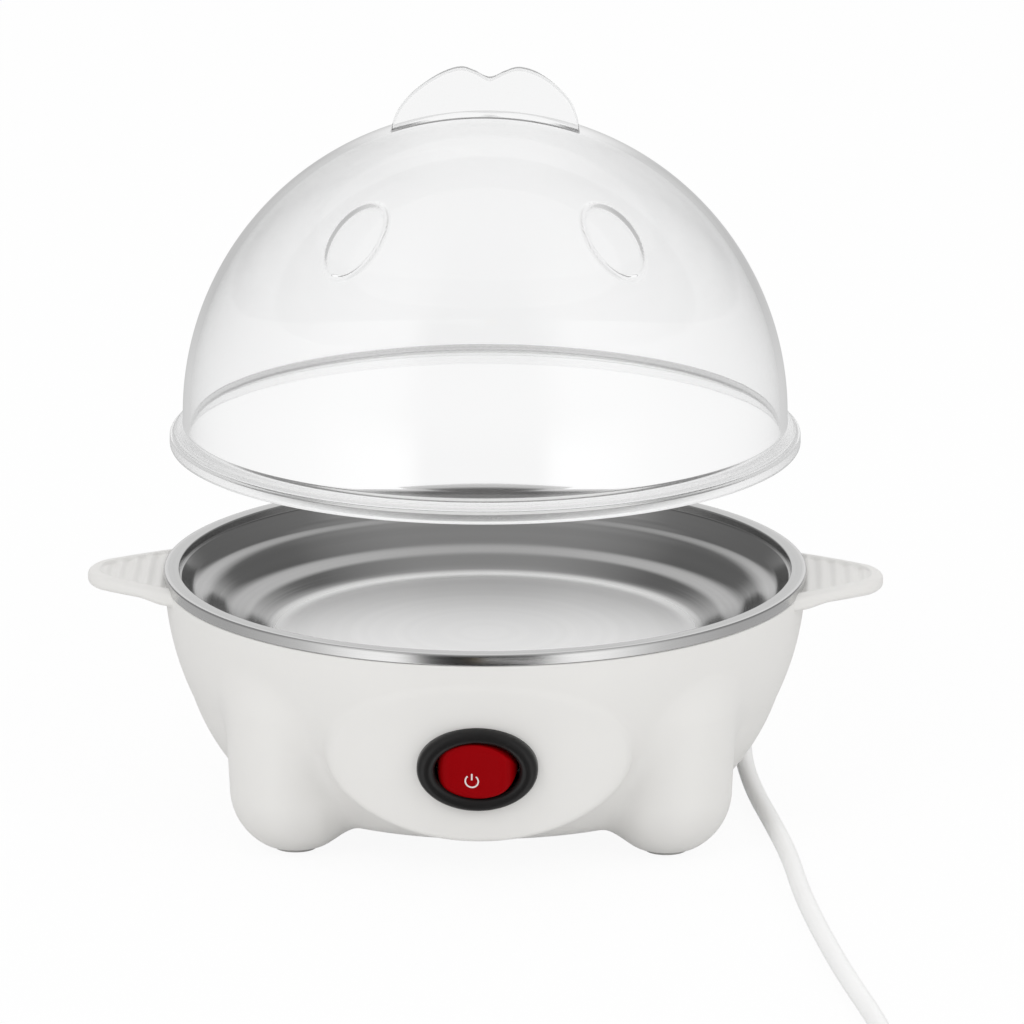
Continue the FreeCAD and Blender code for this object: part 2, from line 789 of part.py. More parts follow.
sweep_radius = d.rockerLong * 0.5 + 0.05
paddle_height = d.rockerFace + d.rockerPivot + 2.4
paddle_oval = oval_block("paddle_oval", d.rockerLong * 0.5, d.rockerShort * 0.5, paddle_height)
rocker_put(paddle_oval, z=-2.4)
paddle_round = cylinder("paddle_round", sweep_radius, 20.0)
rocker_put(paddle_round, 0, 10.0, 0, turn_about(AXIS_X, 90))
dish_radius = 60.0
paddle_dish = cylinder("paddle_dish", dish_radius, 20.0)
dish_height = sizes["rockerFace"] + sizes["rockerPivot"] + dish_radius - 0.35
rocker_put(paddle_dish, 0, 10.0, dish_height, turn_about(AXIS_X, 90))
trunnion = cylinder("rocker_trunnion", pivot_radius, 14.4)
rocker_put(trunnion, 0, 7.2, 0, turn_about(AXIS_X, 90))
plunger_bore = cylinder("plunger_bore", 1.3, 4.0)
rocker_put(plunger_bore, 0, 0, -3.0)
paddle = cut("paddle", common("paddle_trimmed", paddle_oval, paddle_round), paddle_dish)
keep("switch_rocker", cut("switch_rocker", fuse("rocker_joined", paddle, trunnion), plunger_bore))

plunger_rod = cylinder("plunger_rod", 1.25, 4.6)
rocker_put(plunger_rod, 0, 0, -4.2)
plunger_tip = ball("plunger_tip", 1.25)
rocker_put(plunger_tip, 0, 0, -4.2)
keep("rocker_plunger", fuse("rocker_plunger", plunger_rod, plunger_tip))

lever_turn = turn_about(AXIS_Y, sizes["leverThrow"])
lever_strip = block("lever_strip", 12.0, 3.6, 0.5)
lever_knob = cylinder("lever_knob", 0.8, 3.6)


def lever_put(item, x, y, z, turn=None):
    local = lever_turn.multVec(FreeCAD.Vector(x, y, z))
    tilt = lever_turn.multiply(turn or FreeCAD.Rotation())
    return switch_put(item, local.x, local.y, local.z - sizes["leverPivot"], tilt)


lever_put(lever_strip, -6.0, -1.8, -0.25)
lever_put(lever_knob, 0, 1.8, -0.3, turn_about(AXIS_X, 90))
keep("contact_lever", fuse("contact_lever", lever_strip, lever_knob))

terminals = doc.addObject("Part::Compound", "switch_terminals")
terminals.Links = [
    switch_put(block(f"terminal_{i}", 0.8, 4.8, top - terminal_foot), x - 0.4, -2.4, terminal_foot)
    for i, (x, top) in enumerate(zip(terminal_spots, terminal_tops))
]
keep("switch_terminals", terminals)
lamp_glass = cylinder("lamp_glass", 1.2, 6.0)
switch_put(lamp_glass, -3.0, 3.7, -9.6, along_x)
keep("switch_lamp", lamp_glass)


# Cord, its gland, its coil with a tie, and the plug
def tube_path(points, fullness=0.45):
    """Straight runs joined by the largest tangent arcs that the runs allow."""
    spots = [FreeCAD.Vector(*p) for p in points]
    edges = []
    radii = []
    start = spots[0]
    for before, corner, after in zip(spots, spots[1:], spots[2:]):
        come = (corner - before).normalize()
        leave = (after - corner).normalize()
        half = come.getAngle(leave) / 2
        trim = fullness * min(before.distanceToPoint(corner), corner.distanceToPoint(after))
        radii.append(trim / math.tan(half))
        enter, leave_at = corner - come * trim, corner + leave * trim
        inward = (leave - come).normalize()
        middle = corner + inward * (radii[-1] * (1 / math.cos(half) - 1))
        edges.append(Part.LineSegment(start, enter).toShape())
        edges.append(Part.Arc(enter, middle, leave_at).toShape())
        start = leave_at
    edges.append(Part.LineSegment(start, spots[-1]).toShape())
    return edges, radii


def tube(edges, radius):
    """A round solid along edges, and its volume over that of its section times its length."""
    wire = Part.Wire(edges)
    first = edges[0]
    start = first.valueAt(first.FirstParameter)
    ring = Part.Circle(start, first.tangentAt(first.FirstParameter), radius).toShape()
    solid = wire.makePipeShell([Part.Wire(ring)], True, False)
    return solid, solid.Volume / (math.pi * radius**2 * wire.Length), wire.Length


def add_tube(label, edges, radius):
    solid, fill, length = tube(edges, radius)
    item = doc.addObject("Part::Feature", label)
    item.Shape = solid
    keep(label, item)
    print(f"{label}: length {length:.1f}, volume over section times length {fill:.4f}")
    return length


cord_radius = sizes["cordDiameter"] / 2
lead_out = turn_about(AXIS_X, -90)
gland = fuse(
    "gland_solid",
    cylinder("gland_head", 5.2, 2.2, y=d.glandFace - 5.2, z=d.glandHeight, turn=lead_out),
    cylinder("gland_neck", 3.8, 6.0, y=d.glandFace - 4.0, z=d.glandHeight, turn=lead_out),
    cylinder("gland_collar", 5.8, 2.4, y=d.glandFace + 0.2, z=d.glandHeight, turn=lead_out),
    cone("gland_tail", 4.4, 2.9, d.glandTail, y=d.glandFace + 2.6, z=d.glandHeight, turn=lead_out),
)
bore_radius = d.cordDiameter * 0.5 + 0.05
gland_bore = cylinder(
    "gland_bore", bore_radius, 60.0, y=d.glandFace - 20.0, z=d.glandHeight, turn=lead_out
)
tail_grooves = []
for k in range(5):
    groove_y = d.glandFace + 5.6 + 3.4 * k
    ring_out = cylinder(f"groove_out_{k}", 6.0, 1.2, y=groove_y, z=d.glandHeight, turn=lead_out)
    ring_in = cylinder(f"groove_in_{k}", 2.6, 3.2, y=groove_y - 1.0, z=d.glandHeight, turn=lead_out)
    tail_grooves.append(cut(f"tail_groove_{k}", ring_out, ring_in))
keep("cord_gland", cut("cord_gland", gland, fuse("gland_cuts", gland_bore, *tail_grooves)))

floor = cord_radius + 0.05
lift = sizes["coilLift"]
coil_x, coil_y = sizes["coilX"], sizes["coilY"]
coil_start = (coil_x + sizes["coilRadius"], coil_y + sizes["cordDiameter"], lift)
cord_route = [
    (0.0, 80.0, sizes["glandHeight"]),
    (0.0, 94.0, sizes["glandHeight"]),
    (3.5, 107.0, 8.8),
    (14.0, 118.5, 4.2),
    (29.0, 122.0, floor + 0.1),
    (43.0, 116.0, floor),
    (53.0, 103.0, floor),
    (58.0, 86.0, floor),
    (58.4, 66.0, floor),
    (57.4, 45.0, floor),
    (57.2, 23.0, floor),
    (59.6, -2.0, floor),
    (63.6, -26.0, floor),
    (67.2, -50.0, floor),
    (69.5, -76.0, floor),
    (73.5, -104.0, floor),
    (78.2, -132.0, floor),
    (84.0, -160.0, floor),
    (coil_start[0], -188.0, lift),
    coil_start,
]
edges, radii = tube_path(cord_route)
print("cord bend radii", [round(r, 1) for r in radii])
free_length = add_tube("mains_cord", edges, cord_radius)


def half_turn(start, way, span, rise=0.0):
    """Two quarter arcs, clockwise from above, that cross span and climb by rise.

    way is 1 where the half turn starts on the +X side of the coil, and -1 on the other.
    """
    end = start + FreeCAD.Vector(-way * span, 0, rise)
    reach = (end - start).Length / 2
    ahead = FreeCAD.Vector(0, -way, 0)
    across = (end - start).normalize()
    centre = start + across * reach
    join = centre + ahead * reach
    diagonal = reach * math.sqrt(0.5)
    first = Part.Arc(start, centre + (ahead - across) * diagonal, join)
    second = Part.Arc(join, centre + (ahead + across) * diagonal, end)
    return [first.toShape(), second.toShape()], end


pitch = sizes["coilPitch"]
spot = FreeCAD.Vector(coil_x + sizes["coilRadius"], coil_y, lift)
coil_edges = [Part.LineSegment(FreeCAD.Vector(*coil_start), spot).toShape()]
span = 2 * sizes["coilRadius"]
way = 1
half_turns_in = 3
half_turns_out = 2
for turn_index in range(half_turns_in):
    made, spot = half_turn(spot, way, span - turn_index * pitch)
    coil_edges += made
    way = -way
inner_span = span - half_turns_in * pitch
made, spot = half_turn(spot, way, inner_span, pitch)
coil_edges += made
way = -way
for turn_index in range(half_turns_out):
    made, spot = half_turn(spot, way, inner_span + pitch * (turn_index + 1))
    coil_edges += made
    way = -way
last_half, _ = half_turn(spot, way, inner_span + pitch * (half_turns_out + 1))
coil_edges.append(last_half[0])
leave = last_half[0].valueAt(last_half[0].LastParameter)
tail_run = 17.0
coil_end = leave + FreeCAD.Vector(-tail_run, 0, 0)
coil_edges.append(Part.LineSegment(leave, coil_end).toShape())
coil_length = add_tube("cord_coil", coil_edges, cord_radius)
print(f"cord length {free_length + coil_length:.0f}")


def least_gap(edges, diameter):
    """The least room between parts of one tube that are over four diameters apart along it."""
    points = []
    for e in edges:
        count = max(2, int(e.Length / 0.5))
        points += e.discretize(Number=count)[:-1]
    skip = int(4 * diameter / 0.5)
    best = 1e9
    for i, a in enumerate(points):
        for b in points[i + skip :]:
            best = min(best, a.distanceToPoint(b))
    return best - diameter


print(f"least gap in the coil {least_gap(coil_edges, sizes['cordDiameter']):.2f}")

# The tie goes round the side of the coil that is nearest to the plug
tie_wall = 0.8
tie_room = 0.45
tie_foot = 0.05
turns_out = coil_x - sizes["coilRadius"] - cord_radius - tie_room
turns_in = coil_x - sizes["coilRadius"] + pitch + cord_radius + tie_room
tie_high = pitch + 2 * cord_radius + 2 * tie_room
tie_out = block(
    "tie_out",
    turns_in - turns_out + 2 * tie_wall,
    7.0,
    tie_high + 2 * tie_wall,
    turns_out - tie_wall,
    coil_y - 3.5,
    tie_foot,
)
tie_in = block(
    "tie_in", turns_in - turns_out, 12.0, tie_high, turns_out, coil_y - 6.0, tie_foot + tie_wall
)
keep("cord_tie", cut("cord_tie", tie_out, tie_in))

plug_turn = turn_about(AXIS_Z, 180)
plug_relief = 10.0
relief_turn = turn_about(AXIS_Y, -90)
relief = cone("plug_relief", 2.9, 4.2, plug_relief, coil_end.x, coil_end.y, coil_end.z, relief_turn)
plug_block = block(
    "plug_block",
    d.plugLong,
    d.plugWide,
    d.plugThick,
    coil_end.x - plug_relief,
    coil_end.y + d.plugWide * 0.5,
    coil_end.z - d.plugThick * 0.5,
    plug_turn,
)
doc.recompute()
plug_soft = doc.addObject("Part::Fillet", "plug_soft")
plug_soft.Base = plug_block
plug_soft.Edges = [(i, 2.6, 2.6) for i in range(1, 13)]
blade_long = 22.0
blade_thick = 1.5
blade_wide = 6.3
blade_gap = 12.7
blade_x = coil_end.x - plug_relief - sizes["plugLong"] - 16.0
blade_z = coil_end.z - blade_wide / 2


def plug_prong(name, side):
    y = coil_end.y + side * blade_gap / 2 - blade_thick / 2
    return block(name, blade_long, blade_thick, blade_wide, blade_x, y, blade_z)


plug_joined = fuse("plug_joined", relief, plug_soft)
plug_slots = fuse("plug_slots", plug_prong("plug_slot_0", -1), plug_prong("plug_slot_1", 1))
keep("plug_body", cut("plug_body", plug_joined, plug_slots))
plug_prongs = doc.addObject("Part::Compound", "plug_blades")
plug_prongs.Links = [plug_prong("plug_blade_0", -1), plug_prong("plug_blade_1", 1)]
keep("plug_blades", plug_prongs)

# Inner leads: gland to fuse, fuse to thermostat, thermostat to element, element to switch to gland
lead_radius = 1.0
touch = 0.05
wire_end = 15.0 + touch
fuse_level = number(fuse_z)
blade_level = number(disc_foot) - blade_drop - lead_radius - touch
pin_level = number(ring_height) - 16.0 - lead_radius - touch
terminal_level = 26.08
lead_side = lead_radius + 0.02
gland_level = sizes["glandHeight"]
lead_routes = {
    "fuse_lead": [
        (lead_side, 60.0, gland_level),
        (lead_side, 51.0, gland_level),
        (5.0, 44.0, 14.0),
        (12.0, 37.5, 16.0),
        (19.5, 33.0, 19.0),
        (21.0, fuse_y, fuse_level),
        (wire_end, fuse_y, fuse_level),
    ],
    "thermostat_lead": [
        (-wire_end, fuse_y, fuse_level),
        (-20.0, fuse_y, fuse_level),
        (-18.0, 21.0, 20.0),
        (-9.0, 12.0, 19.5),
        (blade_spots[0], 6.0, blade_level),
        (blade_spots[0], -1.5, blade_level),
    ],
    "return_lead": [
        (blade_spots[1], 1.5, blade_level),
        (blade_spots[1], -6.0, blade_level),
        (-3.0, -14.0, 18.0),
        (-10.0, -21.0, 14.5),
        (pin_spots[0][0] + 0.5, pin_spots[0][1] + 3.0, pin_level),
        (pin_spots[0][0], pin_spots[0][1] - 1.0, pin_level),
    ],
    "element_lead": [
        (pin_spots[1][0], pin_spots[1][1] + 1.0, pin_level),
        (pin_spots[1][0] - 1.0, pin_spots[1][1] - 6.0, pin_level),
        (9.0, -44.0, 14.5),
        (6.4, -49.4, 19.0),
        (terminal_spots[2], -50.2, terminal_level),
    ],
    "switch_lead": [
        (-lead_side, 60.0, gland_level),
        (-lead_side, 51.0, gland_level),
        (-6.0, 42.0, 13.5),
        (-14.0, 25.0, 14.0),
        (-18.0, 2.0, 14.0),
        (-20.0, -20.0, 14.0),
        (-18.0, -36.0, 14.5),
        (-10.0, -45.5, 15.5),
        (-6.4, -49.4, 19.5),
        (terminal_spots[0], -50.2, terminal_level),
    ],
}
for label, route in lead_routes.items():
    edges, _ = tube_path(route)
    add_tube(label, edges, lead_radius)

# Clear dome lid: shell, flange and eye rims, with a two-lobed grip on top
lid_foot = d.rimTop + d.lidLift
dome_base = lid_foot + d.flangeHeight
w = d.lidWall
dome_centre = dome_base + 1.9
flange = turned(
    "lid_flange",
    [
        (d.domeRadius - w, lid_foot + 3.4),
        (d.flangeRadius - 1.7, lid_foot + 2.2),
        (d.flangeRadius - 1.7, lid_foot),
        (d.flangeRadius - 0.4, lid_foot),
        (d.flangeRadius, lid_foot + 0.4),
        (d.flangeRadius, lid_foot + 2.3),
        (d.flangeRadius - 0.5, lid_foot + 2.5),
        (d.flangeRadius - 1.1, lid_foot + 3.7),
        (d.flangeRadius - 1.7, lid_foot + 3.8),
        (d.domeRadius + 0.3, dome_base),
        (d.domeRadius, dome_base + 0.4),
        (d.domeRadius, dome_centre),
        (d.domeRadius - w, dome_centre),
    ],
)
dome_out = ball("dome_out", d.domeRadius, z=dome_centre)
dome_out.Angle1 = 0.0
dome = cut("dome", dome_out, ball("dome_in", d.domeRadius - w, z=dome_centre))
eye_rims = []
for side in (-1, 1):
    lean = turn_about(AXIS_Z, side * sizes["eyeAzimuth"] + sizes["eyeTurn"]).multiply(
        turn_about(AXIS_X, 90.0 - sizes["eyeElevation"])
    )
    outer = oval_block(f"eye_outer_{side + 1}", d.eyeTall, d.eyeWide, 120.0)
    inner_oval = oval_block(f"eye_inner_{side + 1}", d.eyeTall - 1.5, d.eyeWide - 1.5, 120.0)
    for item in (outer, inner_oval):
        put(item, z=dome_centre, turn=lean.multiply(turn_about(AXIS_Z, 90)))
    shell_out = ball(f"eye_out_{side + 1}", d.domeRadius + d.eyeRaise, z=dome_centre)
    shell_in = ball(f"eye_in_{side + 1}", d.domeRadius - w * 0.5, z=dome_centre)
    rim = cut(f"eye_rim_{side + 1}", outer, inner_oval)
    shell = cut(f"eye_shell_{side + 1}", shell_out, shell_in)
    eye_rims.append(common(f"eye_{side + 1}", rim, shell))
keep("lid_dome", fuse("lid_dome", dome, flange, *eye_rims))

apex = dome_centre + d.domeRadius
grip = padded(
    "grip_plate",
    [
        (-d.gripHalf, apex - 6.0),
        (d.gripHalf, apex - 6.0),
        (d.gripHalf, apex - 3.4),
        (d.gripHalf - 4.4, apex + 6.6, 32.0, -1),
        (d.gripLean + d.gripLobe, apex + d.gripTop - 1.6, 12.0, -1),
        (d.gripLean, apex + d.gripDip - 1.6, 7.4, 1),
        (d.gripLean - d.gripLobe, apex + d.gripTop - 1.6, 7.4, 1),
        (-d.gripHalf + 4.4, apex + 6.6, 12.0, -1),
        (-d.gripHalf, apex - 3.4, 32.0, -1),
    ],
    d.gripThick,
    "XZ_Plane",
    True,
)
grip_seat = ball("grip_seat", d.domeRadius + 0.02, z=dome_centre)
keep("lid_grip", cut("lid_grip", grip, grip_seat))

doc.recompute()
failed = [o.Name for o in doc.Objects if "Invalid" in o.State or "Error" in o.State]
if failed:
    raise RuntimeError(f"these objects failed: {failed}")
os.makedirs("parts", exist_ok=True)
for label, item in nodes.items():
    shape = item.Shape
    if shape.isNull() or not shape.isValid() or not shape.Solids:
        raise RuntimeError(f"{label} has no valid solid")
    box = shape.optimalBoundingBox()
    ends = [f"{v:.2f}" for v in (box.XMin, box.XMax, box.YMin, box.YMax, box.ZMin, box.ZMax)]
    print(f"{label}: {len(shape.Solids)} solid, volume {shape.Volume:.0f}, box {' '.join(ends)}")
for label, item in nodes.items():
    item.Shape.exportStep(f"parts/{label}.step")
print(f"{len(nodes)} nodes")
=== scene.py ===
import math

import bmesh
import bpy
import numpy as np
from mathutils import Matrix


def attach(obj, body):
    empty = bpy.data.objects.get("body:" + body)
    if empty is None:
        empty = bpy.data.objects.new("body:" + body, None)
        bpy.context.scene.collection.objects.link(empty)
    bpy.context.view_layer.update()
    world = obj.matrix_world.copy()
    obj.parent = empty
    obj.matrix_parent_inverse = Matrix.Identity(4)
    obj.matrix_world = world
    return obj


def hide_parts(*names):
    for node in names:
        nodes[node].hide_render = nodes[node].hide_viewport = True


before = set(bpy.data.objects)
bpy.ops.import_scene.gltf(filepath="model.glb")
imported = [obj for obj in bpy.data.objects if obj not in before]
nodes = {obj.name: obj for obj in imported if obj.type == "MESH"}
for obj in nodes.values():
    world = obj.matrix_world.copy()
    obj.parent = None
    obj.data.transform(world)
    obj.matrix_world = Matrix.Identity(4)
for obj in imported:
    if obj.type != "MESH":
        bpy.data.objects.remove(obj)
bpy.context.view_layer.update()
scene = bpy.context.scene
scene.view_settings.view_transform = "Standard"
mm = 0.001
print("frame loaded with", len(nodes), "nodes")

# camera, from the ellipses of the pan's rim and the lid's flange
cameraSet = {
    "distance": 2.0,
    "elevation": 15.74,
    "azimuth": 1.4,
    "target": (0.0, 0.0, 0.053),
    "lens": 319.1,
    "shiftX": 0.0262,
    "shiftY": 0.0517,
}


def placeCamera(cam):
    az, el = math.radians(cam["azimuth"]), math.radians(cam["elevation"])
    away = np.array([math.sin(az) * math.cos(el), -math.cos(az) * math.cos(el), math.sin(el)])
    data = bpy.data.cameras.new("photoCamera")
    data.lens = cam["lens"]
    data.sensor_width = 36.0
    data.shift_x = cam["shiftX"]
    data.shift_y = cam["shiftY"]
    data.clip_end = 50.0
    thing = bpy.data.objects.new("photoCamera", data)
    scene.collection.objects.link(thing)
    thing.location = np.array(cam["target"]) + away * cam["distance"]
    thing.rotation_euler = (math.radians(90.0) - el, 0.0, az)
    scene.camera = thing


placeCamera(cameraSet)
print("camera placed")


# mesh helpers: every new piece is a grid of points, in millimetres
def gridPiece(name, grid, wrapU=False, wrapV=False, keep=None, flip=False):
    # points[u, v] joined to the next u and the next v, with the last joined to the first where wrapped
    countU, countV = grid.shape[:2]
    index = np.arange(countU * countV).reshape(countU, countV)
    if wrapU:
        index = np.concatenate([index, index[:1]], axis=0)
    if wrapV:
        index = np.concatenate([index, index[:, :1]], axis=1)
    quads = np.stack([index[:-1, :-1], index[1:, :-1], index[1:, 1:], index[:-1, 1:]], axis=-1)
    if keep is not None:
        quads = quads[keep[: quads.shape[0], : quads.shape[1]]]
    quads = quads.reshape(-1, 4)
    if flip:
        quads = quads[:, ::-1]
    mesh = bpy.data.meshes.new(name)
    mesh.from_pydata((grid.reshape(-1, 3) * mm).tolist(), [], quads.tolist())
    mesh.polygons.foreach_set("use_smooth", np.ones(len(quads), dtype=bool))
    thing = bpy.data.objects.new(name, mesh)
    scene.collection.objects.link(thing)
    closeUp(thing)
    return thing


def closeUp(thing, distance=1e-6):
    # poles and seams merged, and every face turned outwards
    work = bmesh.new()
    work.from_mesh(thing.data)
    bmesh.ops.remove_doubles(work, verts=work.verts, dist=distance)
    loose = [v for v in work.verts if not v.link_faces]
    bmesh.ops.delete(work, geom=loose, context="VERTS")
    bmesh.ops.recalc_face_normals(work, faces=work.faces)
    work.to_mesh(thing.data)
    work.free()


def roundCorners(corners, trims, steps=6):
    # each corner becomes a curve from trim before it to trim after it: (1-s)^2 a + 2 s(1-s) p + s^2 b
    corners = np.asarray(corners, float)
    before = np.roll(corners, 1, axis=0) - corners
    after = np.roll(corners, -1, axis=0) - corners
    lengthIn = np.linalg.norm(before, axis=1, keepdims=True)
    lengthOut = np.linalg.norm(after, axis=1, keepdims=True)
    trim = np.minimum(np.asarray(trims, float)[:, None], 0.48 * np.minimum(lengthIn, lengthOut))
    enter = corners + before / lengthIn * trim
    leave = corners + after / lengthOut * trim
    s = np.linspace(0.0, 1.0, steps)[None, :, None]
    curve = (1 - s) ** 2 * enter[:, None] + 2 * s * (1 - s) * corners[:, None] + s**2 * leave[:, None]
    return curve.reshape(-1, 2)


def lathe(name, profile, angles):
    # a profile of (radius, height) carried round the axis
    profile = np.asarray(profile, float)
    radius, height = profile[None, :, 0], profile[None, :, 1]
    turn = np.asarray(angles)[:, None]
    grid = np.stack([radius * np.cos(turn), radius * np.sin(turn), height + 0 * turn], axis=-1)
    return gridPiece(name, grid, wrapU=True, wrapV=True)


def circle(count):
    return np.linspace(0.0, 2 * np.pi, count, endpoint=False)


# cord: the route of the tube, then the turns of its tied coil
cordSet = {
    "diameter": 4.0,
    "floor": 2.05,
    "gland": 13.0,
    "coilCentre": (61.5, -219.0),
    "coilRadius": 26.0,
    "pitch": 4.5,
    "lift": 3.1,
    "turnSteps": 13,
    "tail": 17.0,
    "length": 0.893,
}


def halfTurn(start, way, span, rise, steps, part=1.0):
    # start + the half circle that crosses span, climbing by rise
    across = np.array([-way * span, 0.0, rise])
    reach = np.linalg.norm(across) / 2
    across = across / (2 * reach)
    ahead = np.array([0.0, -way, 0.0])
    turn = np.linspace(0.0, np.pi * part, steps)[1:, None]
    centre = start + across * reach
    return centre + reach * (ahead * np.sin(turn) - across * np.cos(turn))


def cordPoints(c):
    z, lift, pitch = c["floor"], c["lift"], c["pitch"]
    x, y = c["coilCentre"]
    start = np.array([x + c["coilRadius"], y, lift])
    route = np.array(
        [
            (0.0, 80.0, c["gland"]),
            (0.0, 94.0, c["gland"]),
            (3.5, 107.0, 8.8),
            (14.0, 118.5, 4.2),
            (29.0, 122.0, z + 0.1),
            (43.0, 116.0, z),
            (53.0, 103.0, z),
            (58.0, 86.0, z),
            (58.4, 66.0, z),
            (57.4, 45.0, z),
            (57.2, 23.0, z),
            (59.6, -2.0, z),
            (63.6, -26.0, z),
            (67.2, -50.0, z),
            (69.5, -76.0, z),
            (73.5, -104.0, z),
            (78.2, -132.0, z),
            (84.0, -160.0, z),
            (start[0], -188.0, lift),
            (start[0], y + c["diameter"], lift),
        ]
    )
    span = 2 * c["coilRadius"]
    inner = span - 3 * pitch
    turns = [(span, 0.0), (span - pitch, 0.0), (span - 2 * pitch, 0.0), (inner, pitch)]
    turns += [(inner + pitch, 0.0), (inner + 2 * pitch, 0.0)]
    parts = [route, start[None]]
    way = 1
    for width, rise in turns:
        parts.append(halfTurn(parts[-1][-1], way, width, rise, c["turnSteps"]))
        way = -way
    last = halfTurn(parts[-1][-1], way, inner + 3 * pitch, 0.0, c["turnSteps"] // 2 + 1, 0.5)
    end = last[-1] + np.array([[-c["tail"] * 0.5, 0.0, 0.0], [-c["tail"], 0.0, 0.0]])
    return np.concatenate(parts + [last, end])


def makeCord(c):
    points = cordPoints(c)
    curve = bpy.data.curves.new("mainsLead", "CURVE")
    curve.dimensions = "3D"
    spline = curve.splines.new("NURBS")
    spline.points.add(len(points) - 1)
    flat = np.concatenate([points * mm, np.ones((len(points), 1))], axis=1)
    spline.points.foreach_set("co", flat.ravel())
    spline.points.foreach_set("radius", np.full(len(points), c["diameter"] / 2 * mm))
    spline.order_u = 3
    spline.use_endpoint_u = True
    spline.resolution_u = 6
    curve.bevel_depth = 1.0
    curve.bevel_resolution = 5
    curve.use_fill_caps = True
    thing = bpy.data.objects.new("mainsLead", curve)
    scene.collection.objects.link(thing)
    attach(thing, "base")
    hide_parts("mains_cord", "cord_coil")
    return thing


cordPiece = makeCord(cordSet)
print("cord laid")


# shader maths: one class wraps a socket, and any other node comes from add
class Wire:
    def __init__(self, tree, socket):
        self.tree = tree
        self.socket = socket

    def reckon(self, operation, *values):
        return add(self.tree, "ShaderNodeMath", {"operation": operation}, dict(enumerate(values)))

    def __add__(self, other):
        return self.reckon("ADD", self, other)

    def __mul__(self, other):
        return self.reckon("MULTIPLY", self, other)

    def __sub__(self, other):
        return self.reckon("SUBTRACT", self, other)

    def __rsub__(self, other):
        return self.reckon("SUBTRACT", other, self)

    def __truediv__(self, other):
        return self.reckon("DIVIDE", self, other)

    def __pow__(self, other):
        return self.reckon("POWER", self, other)

    def atLeast(self, other):
        return self.reckon("MAXIMUM", self, other)

    def atMost(self, other):
        return self.reckon("MINIMUM", self, other)

    def clamped(self):
        return self.atLeast(0.0).atMost(1.0)

    __radd__ = __add__
    __rmul__ = __mul__


def add(tree, kind, settings=None, inputs=None, output=0):
    # a node with its settings, then its sockets, and a wire from its output or from each of several
    node = tree.nodes.new(kind)
    for name, value in (settings or {}).items():
        if name == "stops":
            setStops(node.color_ramp, value)
        else:
            setattr(node, name, value)
    for name, value in (inputs or {}).items():
        if isinstance(value, Wire):
            tree.links.new(value.socket, node.inputs[name])
        else:
            node.inputs[name].default_value = value
    if isinstance(output, tuple):
        return [Wire(tree, node.outputs[name]) for name in output]
    return Wire(tree, node.outputs[output]) if node.outputs else node


def setStops(strip, stops):
    while len(strip.elements) < len(stops):
        strip.elements.new(0.5)
    for element, (place, colour) in zip(strip.elements, stops):
        element.position = place
        element.color = colour


def newMaterial(name):
    material = bpy.data.materials.new(name)
    material.use_nodes = True
    material.node_tree.nodes.clear()
    return material, material.node_tree


def objectPlace(tree):
    return add(tree, "ShaderNodeTexCoord", output="Object")


def splitPlace(tree, place):
    return add(tree, "ShaderNodeSeparateXYZ", inputs={0: place}, output=(0, 1, 2))


def noise(tree, place, scale, detail=3.0, rough=0.5, stretch=None):
    if stretch is not None:
        place = add(tree, "ShaderNodeMapping", inputs={"Vector": place, "Scale": stretch})
    return add(
        tree,
        "ShaderNodeTexNoise",
        inputs={"Vector": place, "Scale": scale, "Detail": detail, "Roughness": rough},
    )


def tint(tree, mask, low, high):
    # a colour from low to high as the mask goes from 0 to 1
    return add(
        tree,
        "ShaderNodeMix",
        {"data_type": "RGBA"},
        {0: mask, 6: (*low, 1.0), 7: (*high, 1.0)},
        output=2,
    )


def bump(tree, height, strength, distance):
    return add(
        tree,
        "ShaderNodeBump",
        inputs={"Height": height, "Strength": strength, "Distance": distance},
    )


def surface(tree, inputs):
    shader = add(tree, "ShaderNodeBsdfPrincipled", inputs=inputs)
    add(tree, "ShaderNodeOutputMaterial", inputs={"Surface": shader})


plasticSet = {"driftScale": 28.0, "uneven": 0.12, "grainBump": (0.25, 0.00002)}
metalSet = {"driftScale": 60.0, "uneven": 0.14, "scratchBump": (0.15, 0.00003)}


def mouldedPlastic(name, low, high, rough, grain=900.0, specular=0.5):
    # moulded plastic: a faint drift of colour, uneven gloss and a fine moulded grain
    material, tree = newMaterial(name)
    place = objectPlace(tree)
    drift = noise(tree, place, plasticSet["driftScale"], 4.0)
    fine = noise(tree, place, grain, 2.0)
    inputs = {
        "Base Color": tint(tree, drift, low, high),
        "Roughness": rough + (drift - 0.5) * plasticSet["uneven"],
        "Normal": bump(tree, fine, *plasticSet["grainBump"]),
        "Specular IOR Level": specular,
    }
    surface(tree, inputs)
    return material


def metal(name, low, high, rough, grain=420.0, stretch=(1.0, 1.0, 1.0)):
    # worked metal: scratches drawn out along one way over a drifting tone
    material, tree = newMaterial(name)
    place = objectPlace(tree)
    drift = noise(tree, place, metalSet["driftScale"], 3.0)
    scratch = noise(tree, place, grain, 3.0, stretch=stretch)
    inputs = {
        "Base Color": tint(tree, drift, low, high),
        "Metallic": 1.0,
        "Roughness": rough + (scratch - 0.5) * metalSet["uneven"],
        "Normal": bump(tree, scratch, *metalSet["scratchBump"]),
    }
    surface(tree, inputs)
    return material


